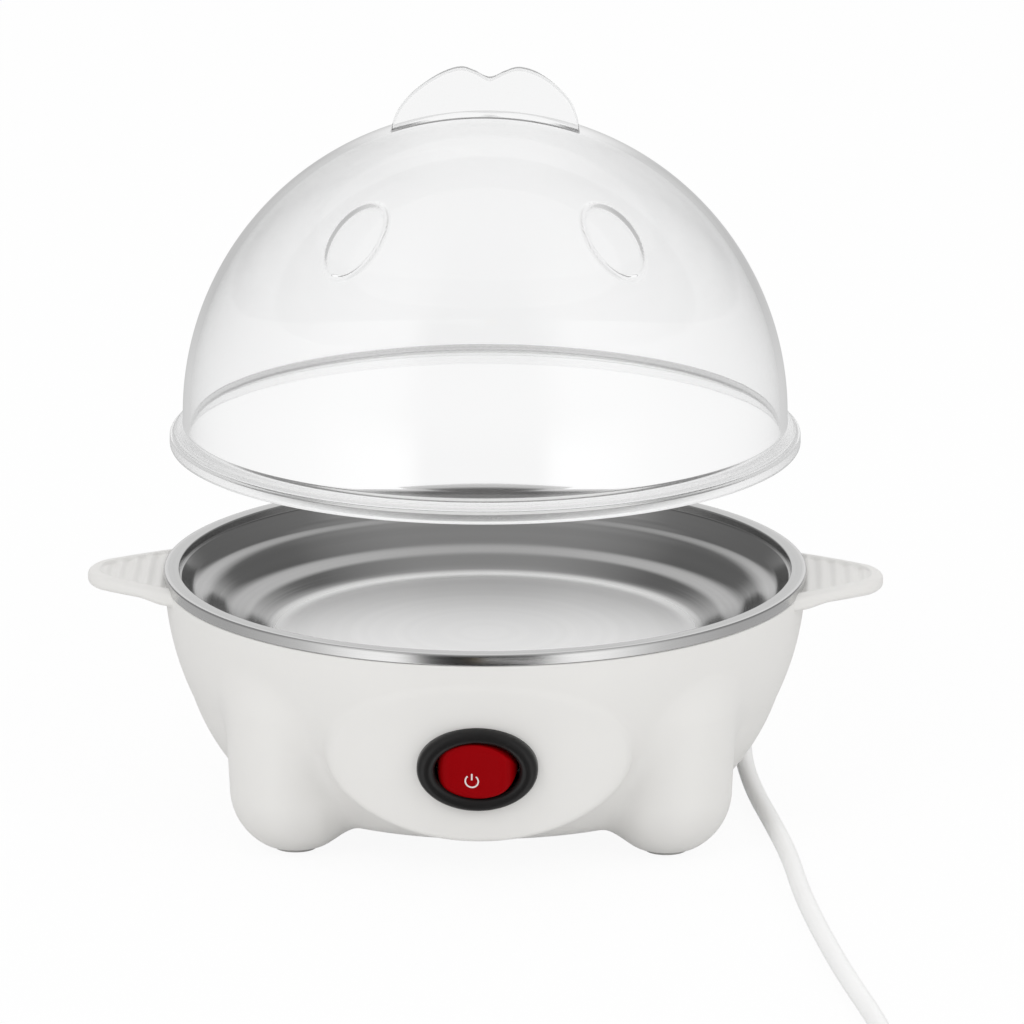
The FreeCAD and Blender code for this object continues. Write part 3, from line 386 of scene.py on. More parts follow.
# spun steel: the painted shade levels of the base colour, darker risers and a bright floor standing in for
# reflections, are those of floor, riser, ledge, riser, ledge, riser, rim and skirt of the pan, by radius in
# parts of the reach, in metres
steelSet = {
    "ringScale": (2600.0, 260.0),
    "driftScale": 22.0,
    "dark": (0.12, 0.119, 0.118),
    "bright": (0.92, 0.918, 0.914),
    "bandShare": 0.15,
    "rough": 0.15,
    "floorRough": 0.16,
    "ringRough": 0.1,
    "driftRough": 0.06,
    "ringBump": (0.5, 0.00002),
    "reach": 0.08,
    "paintedShadeTones": [
        (0.58, 1.0),
        (0.605, 0.3),
        (0.65, 0.26),
        (0.6625, 0.3),
        (0.7025, 0.3),
        (0.715, 0.24),
        (0.755, 0.24),
        (0.7675, 0.32),
        (0.8, 0.32),
        (0.812, 0.24),
        (0.8375, 0.24),
        (0.845, 0.4),
        (0.872, 0.4),
        (0.88, 0.64),
    ],
}


def ramp(tree, value, stops):
    # a grey level for the value, from stops of (value, level)
    marks = [(place, (level, level, level, 1.0)) for place, level in stops]
    return add(tree, "ShaderNodeValToRGB", {"stops": marks}, {0: value})


def spunSteel(name, s):
    # spun sheet: fine rings about the axis, from noise on the radius, with a brushed floor and smooth ledges,
    # and a base colour
    # painted by radius: painted reflection makes the floor bright and painted shade makes the risers dark
    material, tree = newMaterial(name)
    place = objectPlace(tree)
    x, y, z = splitPlace(tree, place)
    radius = (x * x + y * y) ** 0.5
    rings = add(tree, "ShaderNodeCombineXYZ", inputs={0: radius, 1: z, 2: 0.0})
    fine = noise(tree, rings, s["ringScale"][0], 2.0, 0.6)
    band = noise(tree, rings, s["ringScale"][1], 3.0, 0.55)
    drift = noise(tree, place, s["driftScale"], 3.0)
    # painted shade and painted reflection by radius: darker risers and a bright floor; the same level also
    # raises the floor's roughness
    paintedShade = ramp(tree, radius / s["reach"], s["paintedShadeTones"])
    rough = s["rough"] + paintedShade * paintedShade * s["floorRough"]
    rough = rough + (fine - 0.5) * s["ringRough"] + (drift - 0.5) * s["driftRough"]
    shade = paintedShade * (1.0 - s["bandShare"]) + band * s["bandShare"]
    inputs = {
        "Base Color": tint(tree, shade, s["dark"], s["bright"]),
        "Metallic": 1.0,
        "Roughness": rough,
        "Normal": bump(tree, fine + band * 0.5, *s["ringBump"]),
    }
    surface(tree, inputs)
    return material


def share(value, low, high):
    # 0 at low, 1 at high, straight between
    return ((value - low) / (high - low)).clamped()


clearSet = {
    "colour": (0.984, 0.985, 0.986, 1.0),
    "rough": 0.015,
    "uneven": 0.03,
    "driftScale": 16.0,
    "ior": 1.46,
    "bump": (0.05, 0.0002),
}


def clearPlastic(name, dull=None, joint=None):
    # clear moulding: a faintly grey tint and a hardly uneven gloss, duller from one height down to the next,
    # and, where given, a matt grey band near a ball of the given centre and radius, painted shade for the
    # dark line where the crest sits on the dome
    material, tree = newMaterial(name)
    place = objectPlace(tree)
    x, y, z = splitPlace(tree, place)
    drift = noise(tree, place, clearSet["driftScale"], 2.0)
    rough = clearSet["rough"] + drift * clearSet["uneven"]
    if dull:
        rough = rough + share(z, dull["from"] * mm, dull["to"] * mm) * dull["rough"]
    inputs = {
        "Base Color": clearSet["colour"],
        "Roughness": rough,
        "Transmission Weight": 1.0,
        "IOR": clearSet["ior"],
        "Normal": bump(tree, drift, *clearSet["bump"]),
    }
    shader = add(tree, "ShaderNodeBsdfPrincipled", inputs=inputs)
    # painted shade: a matt grey band where the crest meets the dome, for the dark seat line
    if joint:
        rise = z - joint["centre"] * mm
        away = (x * x + y * y + rise * rise) ** 0.5
        near = share(away, (joint["radius"] + joint["fade"]) * mm, joint["radius"] * mm)
        matt = add(tree, "ShaderNodeBsdfDiffuse", inputs={"Color": joint["colour"]})
        shader = add(tree, "ShaderNodeMixShader", inputs={0: near, 1: shader, 2: matt})
    add(tree, "ShaderNodeOutputMaterial", inputs={"Surface": shader})
    return material


whitePlastic = mouldedPlastic("whitePlastic", (0.775, 0.765, 0.745), (0.805, 0.797, 0.778), 0.42)
cordPlastic = mouldedPlastic("cordPlastic", (0.91, 0.91, 0.905), (0.94, 0.94, 0.935), 0.5, 1400.0)
blackPlastic = mouldedPlastic(
    "blackPlastic", (0.010, 0.0095, 0.0095), (0.015, 0.0145, 0.0145), 0.34, specular=0.24
)
redPlastic = mouldedPlastic(
    "redPlastic", (0.25, 0.0006, 0.002), (0.3, 0.0008, 0.003), 0.36, 700.0, specular=0.03
)
markPaint = mouldedPlastic("markPaint", (0.72, 0.66, 0.66), (0.8, 0.76, 0.75), 0.5)
padRubber = mouldedPlastic("padRubber", (0.50, 0.495, 0.485), (0.58, 0.575, 0.56), 0.7, 1200.0)
sealRubber = mouldedPlastic("sealRubber", (0.62, 0.61, 0.59), (0.68, 0.67, 0.65), 0.6)
ceramicBody = mouldedPlastic("ceramicBody", (0.70, 0.68, 0.62), (0.78, 0.76, 0.71), 0.55)
glassSleeve = mouldedPlastic("glassSleeve", (0.62, 0.60, 0.50), (0.74, 0.72, 0.63), 0.8, 2200.0)
redWire = mouldedPlastic("redWire", (0.42, 0.03, 0.025), (0.5, 0.05, 0.04), 0.45)
blueWire = mouldedPlastic("blueWire", (0.05, 0.11, 0.34), (0.07, 0.15, 0.42), 0.45)
panSteel = spunSteel("panSteel", steelSet)
plainSteel = metal("plainSteel", (0.42, 0.42, 0.43), (0.56, 0.56, 0.56), 0.36)
plateAlloy = metal("plateAlloy", (0.62, 0.62, 0.63), (0.72, 0.72, 0.73), 0.4, 300.0, (1.0, 6.0, 1.0))
brassSheet = metal("brassSheet", (0.60, 0.44, 0.18), (0.72, 0.56, 0.27), 0.3, 500.0, (6.0, 1.0, 1.0))
lampGlass = clearPlastic("lampGlass")
print("finishes made")


def dress(thing, material):
    thing.data.materials.clear()
    thing.data.materials.append(material)


cadFinish = {
    "foot_pads": padRubber,
    "base_cover": whitePlastic,
    "cover_screws": plainSteel,
    "rim_seal": sealRubber,
    "heat_plate": plateAlloy,
    "heating_element": plainSteel,
    "element_clamp": plainSteel,
    "pan_studs": plainSteel,
    "clamp_nuts": plainSteel,
    "thermostat_strap": plainSteel,
    "thermostat": ceramicBody,
    "thermal_fuse": plainSteel,
    "fuse_sleeve": glassSleeve,
    "fuse_clip": plainSteel,
    "rocker_plunger": blackPlastic,
    "contact_lever": brassSheet,
    "switch_terminals": brassSheet,
    "switch_lamp": lampGlass,
    "cord_gland": cordPlastic,
    "cord_tie": cordPlastic,
    "plug_body": cordPlastic,
    "plug_blades": brassSheet,
    "fuse_lead": redWire,
    "thermostat_lead": redWire,
    "return_lead": redWire,
    "element_lead": blueWire,
    "switch_lead": blueWire,
}
for nodeName, finish in cadFinish.items():
    dress(nodes[nodeName], finish)
dress(cordPiece, cordPlastic)


# bowl: the outermost point of a soft union of bowl, feet, panel and cord boss along each ray
bowlSet = {
    "foot": (51.5, 5.2),
    "waist": (64.8, 25.5),
    "rim": (70.6, 50.4),
    "lowerArc": 47.0,
    "upperArc": 62.0,
    "opening": 42.8,
    "feet": (40.3, 38.8),
    "ball": 14.3,
    "ballHeight": 13.7,
    "neck": 15.2,
    "neckTop": 32.0,
    "sole": 0.7,
    "footBlend": 3.2,
    "panelHalf": (33.0, 17.6),
    "panelHeight": 27.6,
    "panelRadius": (67.2, 70.0),
    "panelBlend": 1.3,
    "bossRadius": 7.5,
    "bossHeight": 13.0,
    "bossFace": 62.1,
    "bossFrom": 30.0,
    "bossBlend": (1.0, 2.0),
    "footEdge": 3.0,
    "soleBlend": 0.6,
    "wallEase": 0.9,
    "farOut": 60.0,
    "lip": 0.985,
    "ringRise": 2.2,
    "hole": (11.4, 7.9),
    "eye": 44.0,
    "march": (110.0, 90, 0.55),  # first distance, steps and the part of the depth that each step takes
    "columns": 512,
    "rows": 184,
}
switchSet = {
    "centre": (0.0, -68.7, 27.0),
    "lean": 5.0,
    "bezel": (13.0, 9.4),
    "mouth": (9.2, 6.4),
    "rocker": (8.7, 6.1),
    "sweep": 8.75,
    "pivot": 2.5,
    "face": 2.5,
    "throw": 8.0,
    "dish": (0.35, 120.0),
    "endBlend": 2.2,
    "edgeDrop": 0.45,
    "rockerFoot": -2.4,
    "bezelTurns": 160,
    "rockerTurns": 144,
}


def arcRadius(low, high, bend, z):
    # the radius at height z of an arc that bulges outwards from low to high
    low, high = np.array(low), np.array(high)
    chord = high - low
    length = np.linalg.norm(chord)
    out = np.array([chord[1], -chord[0]]) / length
    centre = (low + high) / 2 - out * math.sqrt(bend**2 - length**2 / 4)
    return centre[0] + np.sqrt(np.maximum(bend**2 - (z - centre[1]) ** 2, 1.0))


def softUnion(a, b, k):
    # the lesser of a and b, less (k - |a - b|)^2 / 4k where they come within k of each other
    return np.minimum(a, b) - np.maximum(k - np.abs(a - b), 0.0) ** 2 / (4 * k)


def softCommon(a, b, k):
    return -softUnion(-a, -b, k)


def bowlDepth(p, s):
    # how far each point is outside the moulding, less than nothing inside it
    x, y, z = p[..., 0], p[..., 1], p[..., 2]
    flat = np.hypot(x, y)
    lower = arcRadius(s["foot"], s["waist"], s["lowerArc"], np.clip(z, s["foot"][1], s["waist"][1]))
    upper = arcRadius(s["waist"], s["rim"], s["upperArc"], np.clip(z, s["waist"][1], s["farOut"]))
    wall = flat - np.where(z < s["waist"][1], lower, upper)
    depth = softCommon(wall * s["wallEase"], s["foot"][1] - z, s["footEdge"])
    fx, fy = s["feet"]
    level = np.clip(z, s["ballHeight"], s["neckTop"])
    grow = (level - s["ballHeight"]) / (s["neckTop"] - s["ballHeight"])
    reach = s["ball"] + (s["neck"] - s["ball"]) * grow
    leg = np.sqrt((np.abs(x) - fx) ** 2 + (np.abs(y) - fy) ** 2 + (z - level) ** 2) - reach
    leg = softCommon(leg, s["sole"] - z, s["soleBlend"])
    depth = softUnion(depth, leg, s["footBlend"])
    halfLong, halfShort = s["panelHalf"]
    up = (z - s["panelHeight"]) / halfShort
    oval = (np.sqrt((x / halfLong) ** 2 + up**2) - 1.0) * halfShort
    lowRadius, highRadius = s["panelRadius"]
    front = flat - (lowRadius + (highRadius - lowRadius) * (up + 1.0) / 2)
    panel = np.where(y < 0.0, softCommon(front, oval, s["panelBlend"]), s["farOut"])
    depth = softUnion(depth, panel, s["panelBlend"])
    bossEdge, bossRoot = s["bossBlend"]
    boss = softCommon(np.hypot(x, z - s["bossHeight"]) - s["bossRadius"], y - s["bossFace"], bossEdge)
    return softUnion(depth, np.where(y > s["bossFrom"], boss, s["farOut"]), bossRoot)


def makeBowl(s):
    # each ray from the eye is followed inwards to the skin, and the switch's oval is left open
    top = math.atan2(s["rim"][1] - s["eye"], s["rim"][0])
    bottom = math.atan2(s["foot"][1] - s["eye"], s["opening"])
    slant = np.linspace(top, bottom, s["rows"])[None, :]
    turn = circle(s["columns"])[:, None]
    ray = np.stack(
        [np.cos(turn) * np.cos(slant), np.sin(turn) * np.cos(slant), np.sin(slant) + 0 * turn], axis=-1
    )
    eye = np.array([0.0, 0.0, s["eye"]])
    first, steps, part = s["march"]
    far = np.full(ray.shape[:2], first)
    for step in range(steps):
        far = far - part * bowlDepth(eye + ray * far[..., None], s)
    skin = eye + ray * far[..., None]
    lipOut = skin[:, :1] * np.array([s["lip"], s["lip"], 1.0])
    edge = np.concatenate([np.cos(turn), np.sin(turn)], axis=1)[:, None, :]
    level = np.full((s["columns"], 1, 1), s["foot"][1] + s["ringRise"])
    ringUp = np.concatenate([edge * s["opening"], level], axis=2)
    grid = np.concatenate([lipOut, skin, ringUp], axis=1)
    middle = (grid + np.roll(grid, -1, axis=0)) / 2
    middle = (middle[:, 1:] + middle[:, :-1]) / 2
    holeX, holeZ = s["hole"]
    hole = np.hypot(middle[..., 0] / holeX, (middle[..., 2] - switchSet["centre"][2]) / holeZ) < 1.0
    keep = ~(hole & (middle[..., 1] < 0.0))
    bowl = gridPiece("bowlShell", grid, wrapU=True, keep=keep)
    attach(bowl, "base")
    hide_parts("outer_shell")
    dress(bowl, whitePlastic)


makeBowl(bowlSet)
print("bowl made")

# wing handles: a rounded section carried from the bowl to the tip, with a sunk and ribbed top
wingSet = {
    "wall": 69.4,
    "tip": 87.65,
    "top": 51.9,
    "thick": 3.4,
    "slope": 40.0,
    "tipRound": 11.5,
    "side": 95.0,
    "margin": 2.4,
    "root": 0.9,
    "sunk": 0.85,
    "ribDepth": 0.4,
    "ribStart": 74.3,
    "ribPitch": 3.15,
    "section": (8, 2.5),
    "endRound": 8.0,
    "edgeFade": 1.6,
    "rootRun": (76.0, 6.0),
    "tipCrowd": 1.6,
    "steps": 130,
    "across": 72,
}


def wingHalf(x, w):
    # half width at x: a side arc that runs into the tip's arc where its slope is reached
    slope = math.radians(w["slope"])
    back = w["tip"] - w["tipRound"]
    touch = back + w["tipRound"] * math.sin(slope)
    gap = w["side"] - w["tipRound"]
    reach = x - back + gap * math.sin(slope)
    side = np.sqrt(np.maximum(w["side"] ** 2 - reach**2, 0.0)) - gap * math.cos(slope)
    arc = np.sqrt(np.maximum(w["tipRound"] ** 2 - np.maximum(x - back, 0.0) ** 2, 0.0))
    return np.where(x < touch, side, arc)


def easeIn(t):
    # 0 before 0, 1 after 1, 3t^2 - 2t^3 between
    t = np.clip(t, 0.0, 1.0)
    return t * t * (3.0 - 2.0 * t)


def makeWing(name, side, w):
    # x runs from the bowl's wall to the tip, y = c * half width, the section is |c|^m + |z|^n = 1,
    # and the underside falls by root towards the wall
    m, n = w["section"]
    s = np.linspace(0.0, 1.0, w["steps"])[:, None]
    c = np.cos(np.linspace(0.0, np.pi, w["across"]))[None, :]
    start = np.full(c.shape, w["wall"])
    for step in range(30):
        start = np.sqrt(w["wall"] ** 2 - (wingHalf(start, w) * c) ** 2)
    x = start + (w["tip"] - start) * (1.0 - (1.0 - s) ** w["tipCrowd"])
    half = wingHalf(x, w)
    crown = (1.0 - np.abs(c) ** m) ** (1.0 / n)
    ends = np.clip(half / w["endRound"], 0.0, 1.0) ** 0.5
    middle = w["top"] - w["thick"] / 2
    inset = w["tipRound"] - w["margin"]
    inner = dict(w, tip=w["tip"] - w["margin"], tipRound=inset, side=w["side"] - w["margin"])
    sideIn = easeIn((wingHalf(x, inner) - half * np.abs(c)) / w["edgeFade"])
    smoothIn = sideIn * easeIn((inner["tip"] - x) / w["edgeFade"])
    wave = 0.5 - 0.5 * np.cos(2.0 * np.pi * (x - w["ribStart"]) / w["ribPitch"])
    ribs = w["sunk"] - w["ribDepth"] + w["ribDepth"] * wave
    rootEnd, rootLength = w["rootRun"]
    above = middle + w["thick"] / 2 * crown * ends - smoothIn * ribs
    below = middle - w["thick"] / 2 * crown * ends - w["root"] * easeIn((rootEnd - x) / rootLength)
    topSheet = np.stack([x, half * c, above], axis=-1)
    underSheet = np.stack([x, half * c, below], axis=-1)[:, ::-1]
    grid = np.concatenate([topSheet, underSheet], axis=1) * np.array([side, 1.0, 1.0])
    wing = gridPiece(name, grid, wrapV=True)
    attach(wing, "base")
    dress(wing, whitePlastic)


makeWing("wingRight", 1, wingSet)
makeWing("wingLeft", -1, wingSet)
print("wings made")

# steel pan: a stepped sheet profile with soft corners, turned about the axis
panSet = {
    "rim": 70.8,
    "top": 53.0,
    "skirt": 2.4,
    "sheet": 0.7,
    "rimWidth": 3.4,
    "lipDepth": 1.8,
    "lipStep": 0.5,
    "ledgeOne": (64.6, 61.4, 46.2),
    "ledgeTwo": (56.8, 52.6, 41.0),
    "ledgeRise": 1.2,
    "floor": (47.0, 37.6),
    "turns": 288,
}


def makePan(p):
    # the sheet's upper side out to the rim and its lower side back, each corner with its own trim
    t, inner = p["sheet"], p["rim"] - p["rimWidth"]
    footOne, edgeOne, z1 = p["ledgeOne"]
    footTwo, edgeTwo, z2 = p["ledgeTwo"]
    r3, z3 = p["floor"]
    lipZ, shelf = p["top"] - p["lipDepth"], inner - p["lipStep"]
    upper = [
        (0.0, z3, 0.0),
        (r3 * 0.5, z3, 0.1),
        (r3, z3, 3.0),
        (edgeTwo, z2, 1.0),
        (footTwo, z2 + p["ledgeRise"], 1.6),
        (edgeOne, z1, 1.5),
        (footOne, z1 + p["ledgeRise"], 1.2),
        (shelf, lipZ, 0.25),
        (inner, lipZ, 0.2),
        (inner, p["top"], 0.4),
        (p["rim"], p["top"], 0.55),
        (p["rim"], p["top"] - p["skirt"], 0.15),
    ]
    lower = [
        (p["rim"] - t, p["top"] - p["skirt"], 0.15),
        (p["rim"] - t, p["top"] - t, 0.3),
        (inner + t, p["top"] - t, 0.3),
        (inner + t, lipZ - t, 0.3),
        (shelf + t, lipZ - t, 0.2),
        (footOne + t * 0.7, z1 + p["ledgeRise"] - t, 1.0),
        (edgeOne + t * 0.4, z1 - t, 1.4),
        (footTwo + t * 0.4, z2 + p["ledgeRise"] - t, 1.4),
        (edgeTwo + t * 0.4, z2 - t, 1.4),
        (r3 + t * 0.4, z3 - t, 2.4),
        (0.0, z3 - t, 0.0),
    ]
    corners = np.array(upper + lower)
    profile = roundCorners(corners[:, :2], corners[:, 2])
    pan = lathe("steelPan", profile, circle(p["turns"]))
    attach(pan, "base")
    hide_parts("heating_pan")
    dress(pan, panSteel)


makePan(panSet)
print("pan made")

# switch: an oval bezel, a dished rocker and a small power mark
bezelProfile = [
    (0.0, -4.0),
    (0.0, 1.0),
    (0.03, 1.45),
    (0.1, 1.8),
    (0.2, 2.05),
    (0.34, 2.18),
    (0.5, 2.2),
    (0.66, 2.1),
    (0.8, 1.85),
    (0.9, 1.45),
    (0.97, 0.9),
    (1.0, 0.3),
    (1.0, -2.2),
    (0.8, -2.2),
    (0.4, -4.0),
]


def switchPlace(local, s=switchSet):
    # x to the right, y up the panel and z straight out of it, from the switch's centre
    lean = math.radians(s["lean"])
    up = np.array([0.0, -math.sin(lean), math.cos(lean)])
    out = np.array([0.0, -math.cos(lean), -math.sin(lean)])
    right = np.array([1.0, 0.0, 0.0])
    return np.array(s["centre"]) + local[..., :1] * right + local[..., 1:2] * up + local[..., 2:] * out


def makeBezel(s):
    # each profile point's part of the way from the mouth's oval to the outer oval, and its height
    profile = np.array(bezelProfile)
    outward, height = profile[None, :, 0], profile[None, :, 1]
    turn = circle(s["bezelTurns"])[:, None]
    halfX = s["mouth"][0] + (s["bezel"][0] - s["mouth"][0]) * outward
    halfY = s["mouth"][1] + (s["bezel"][1] - s["mouth"][1]) * outward
    local = np.stack([halfX * np.cos(turn), halfY * np.sin(turn), height + 0 * turn], axis=-1)
    bezel = gridPiece("switchBezel", switchPlace(local), wrapU=True, wrapV=True)
    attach(bezel, "base")
    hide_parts("switch_housing")
    dress(bezel, blackPlastic)


def rockerHeight(x, rho, s):
    # dished along x, rounded off at the ends by the circle that they swing on,
    # and at the oval's edge by rho^14
    sunk, bend = s["dish"]
    dish = s["face"] + s["pivot"] - sunk + x**2 / bend
    sweep = np.sqrt(np.maximum(s["sweep"] ** 2 - x**2, 0.0))
    return softUnion(dish, sweep, s["endBlend"]) - s["edgeDrop"] * rho**14


def rockerPlace(local, s=switchSet):
    # turned about the rocker's axis by its throw, which is its position at rest
    tilt = -math.radians(s["throw"])
    x, y, z = local[..., 0], local[..., 1], local[..., 2]
    across = x * math.cos(tilt) + z * math.sin(tilt)
    out = -x * math.sin(tilt) + z * math.cos(tilt) - s["pivot"]
    return switchPlace(np.stack([across, y, out], axis=-1), s)


def makeRocker(s):
    # an oval face in rings of rho, then its wall and its underside
    turn = circle(s["rockerTurns"])[:, None]
    rho = np.concatenate([np.linspace(0.0, 0.9, 26), np.linspace(0.92, 1.0, 9)])[None, :]
    x = s["rocker"][0] * rho * np.cos(turn)
    y = s["rocker"][1] * rho * np.sin(turn)
    z = rockerHeight(x, rho, s)
    topFace = np.stack([x, y, z], axis=-1)
    edge = topFace[:, -1:]
    fall = np.linspace(0.1, 1.0, 6)[None, :, None]
    foot = edge * np.array([1.0, 1.0, 0.0]) + np.array([0.0, 0.0, s["rockerFoot"]])
    wall = edge * (1.0 - fall) + foot * fall
    under = foot * np.array([0.0, 0.0, 1.0])
    grid = np.concatenate([topFace, wall, under], axis=1)
    rocker = gridPiece("rockerPaddle", rockerPlace(grid, s), wrapU=True)
    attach(rocker, "rocker")
    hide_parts("switch_rocker")
    dress(rocker, redPlastic)


markSet = {
    "at": (-0.5, -2.0),
    "ring": 1.4,
    "gap": 40.0,
    "bar": (0.25, 1.7),
    "stroke": 0.36,
    "section": [(-0.5, -0.02), (-0.4, 0.035), (0.4, 0.035), (0.5, -0.02)],  # parts of the stroke, and lifts
    "ringPoints": 48,
    "barPoints": 8,
}


def makeMark(name, line, m):
    # a flat band of the stroke's width along a line of (x, y), laid on the rocker's face
    along = np.gradient(line, axis=0)
    along = along / np.linalg.norm(along, axis=1, keepdims=True)
    side = np.stack([-along[:, 1], along[:, 0]], axis=1)
    section = np.array(m["section"])
    flat = line[:, None] + side[:, None] * section[None, :, :1] * m["stroke"] + np.array(m["at"])
    lift = section[None, :, 1]
    rho = np.hypot(flat[..., 0] / switchSet["rocker"][0], flat[..., 1] / switchSet["rocker"][1])
    height = rockerHeight(flat[..., 0], rho, switchSet) + lift
    grid = rockerPlace(np.concatenate([flat, height[..., None]], axis=2))
    mark = gridPiece(name, grid)
    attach(mark, "rocker")
    dress(mark, markPaint)


def makeMarks(m):
    # a ring that is open at the top, and a bar in its opening
    opening = math.radians(m["gap"])
    sweep = np.linspace(np.pi / 2 + opening, np.pi * 2.5 - opening, m["ringPoints"])
    makeMark("markRing", m["ring"] * np.stack([np.cos(sweep), np.sin(sweep)], axis=1), m)
    bar = np.linspace(*m["bar"], m["barPoints"])
    makeMark("markBar", np.stack([0 * bar, bar], axis=1), m)


makeBezel(switchSet)
makeRocker(switchSet)
makeMarks(markSet)
print("switch made")

# lid: one clear shell of dome and flange, with raised eye rims, and a crest to lift it by
lidSet = {
    "foot": 81.3,
    "centre": 87.8,
    "radius": 66.3,
    "wall": 1.6,
    "flange": 69.2,
    "base": 85.9,
    "eyeTurn": 37.1,
    "lidTurn": 1.2,
    "eyeRise": 46.0,
    "eyeHalf": (6.9, 10.6),
    "eyeInset": 0.65,
    "eyeReach": (0.6, 0.45),
    "eyeRaise": 0.75,
    "eyeNear": 0.8,
    "rows": (150, 0.16, 4.5),  # count, and where the eyes are, the reach and the gain of closer rows
    "columns": (336, 0.2, 5.0),
    "dull": {"from": 86.6, "to": 85.8, "rough": 0.22},
}


def eyeRidge(unit, l):
    # a ridge exp(-(d / reach)^2) along an oval on the dome, with one reach inwards and one outwards,
    # on both sides of the front
    raised = np.zeros(unit.shape[:2])
    for side in (-1, 1):
        turn, rise = math.radians(side * l["eyeTurn"] + l["lidTurn"]), math.radians(l["eyeRise"])
        axis = np.array([math.sin(turn) * math.cos(rise), -math.cos(turn) * math.cos(rise), math.sin(rise)])
        level = np.array([math.cos(turn), math.sin(turn), 0.0])
        up = np.cross(level, -axis)
        up = up * np.sign(up[2])
        a = unit @ level * l["radius"] / l["eyeHalf"][0]
        b = unit @ up * l["radius"] / l["eyeHalf"][1]
        past = (np.hypot(a, b) - 1.0) * (l["eyeHalf"][0] + l["eyeHalf"][1]) / 2 + l["eyeInset"]
        ridge = np.exp(-((past / np.where(past < 0.0, *l["eyeReach"])) ** 2))
        raised = raised + np.where(unit @ axis > l["eyeNear"], ridge, 0.0) * l["eyeRaise"]
    return raised


def crowd(low, high, count, places, reach, gain):
    # count steps from low to high, gain times closer within reach of the places,
    # easing off over as much again
    fine = np.linspace(low, high, 4001)
    near = sum(easeIn((2.0 * reach - np.abs(fine - place)) / reach) for place in places)
    total = np.concatenate([[0.0], np.cumsum(1.0 + (gain - 1.0) * near)])[:-1]
    return np.interp(np.linspace(0.0, total[-1], count + 1), total, fine)


def makeLid(l):
    # a ball of radius + ridge down to the flange's rounded profile, then a plain ball inside, back to the top
    rows, rowReach, rowGain = l["rows"]
    columns, columnReach, columnGain = l["columns"]
    slant = crowd(0.0, np.pi / 2, rows, [math.radians(l["eyeRise"])], rowReach, rowGain)[::-1]
    eye = math.radians(l["eyeTurn"])
    front = math.radians(l["lidTurn"] - 90.0)
    spread = front + crowd(-np.pi, np.pi, columns, [-eye, eye], columnReach, columnGain)[:-1, None]
    unit = np.stack(
        [np.cos(spread) * np.cos(slant), np.sin(spread) * np.cos(slant), np.sin(slant) + 0 * spread], axis=-1
    )
    centre = np.array([0.0, 0.0, l["centre"]])
    outer = centre + unit * (l["radius"] + eyeRidge(unit, l))[..., None]
    low, wide, edge = l["foot"], l["flange"], l["radius"]
    steps = np.array(
        [
            (edge, l["base"] + 0.4, 0.2),
            (edge + 0.5, l["base"], 0.3),
            (wide - 1.7, low + 3.9, 0.3),
            (wide - 1.2, low + 3.6, 0.3),
            (wide - 0.7, low + 2.6, 0.3),
            (wide, low + 2.3, 0.3),
            (wide, low, 0.5),
            (wide - 1.7, low, 0.5),
            (wide - 1.7, low + 2.2, 0.6),
            (edge - l["wall"], low + 3.4, 0.6),
        ]
    )
    closed = np.concatenate([[(edge, l["centre"], 0.0)], steps, [(edge - l["wall"], l["centre"], 0.0)]])
    profile = roundCorners(closed[:, :2], closed[:, 2], 5)[5:-5]
    flange = np.stack(
        [
            profile[None, :, 0] * np.cos(spread),
            profile[None, :, 0] * np.sin(spread),
            profile[None, :, 1] + 0 * spread,
        ],
        axis=-1,
    )
    lining = centre + unit * (edge - l["wall"])
    grid = np.concatenate([outer, flange, lining[:, ::-3], lining[:, :1]], axis=1)
    lid = gridPiece("lidShell", grid, wrapU=True)
    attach(lid, "lid")
    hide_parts("lid_dome")
    dress(lid, clearPlastic("clearLid", dull=l["dull"]))
    lid.visible_glossy = False


crestSet = {
    "outline": [
        (20.6, -3.4),
        (19.9, 0.6),
        (18.3, 4.2),
        (15.4, 7.4),
        (11.6, 10.0),
        (7.4, 11.2),
        (4.2, 10.3),
        (1.0, 9.0),
        (-2.2, 10.4),
        (-5.4, 11.25),
        (-9.6, 9.9),
        (-14.0, 7.1),
        (-17.6, 3.7),
        (-19.6, 0.3),
        (-20.6, -3.4),
    ],
    "thick": 3.0,
    "edgeRound": 1.0,
    "seatGap": 0.02,
    "leastHeight": 0.05,
    "steps": 12,
    # painted shade at the crest's seat on the dome: a matt grey band
    "joint": {"centre": 87.8, "radius": 66.6, "fade": 0.2, "colour": (0.62, 0.62, 0.62, 1.0)},
}


def smoothThrough(points, steps):
    # a curve through the points, each span a cubic from its neighbours' slopes
    points = np.asarray(points, float)
    before = np.concatenate([points[:1] * 2 - points[1:2], points[:-1]])
    after = np.concatenate([points[1:], points[-1:] * 2 - points[-2:-1]])
    slope = (after - before) / 2
    t = np.linspace(0.0, 1.0, steps, endpoint=False)[None, :, None]
    a, b, m, n = points[:-1, None], points[1:, None], slope[:-1, None], slope[1:, None]
    h = 2 * t**3 - 3 * t**2 + 1
    curve = h * a + (t**3 - 2 * t**2 + t) * m + (1 - h) * b + (t**3 - t**2) * n
    return np.concatenate([curve.reshape(-1, points.shape[1]), points[-1:]])


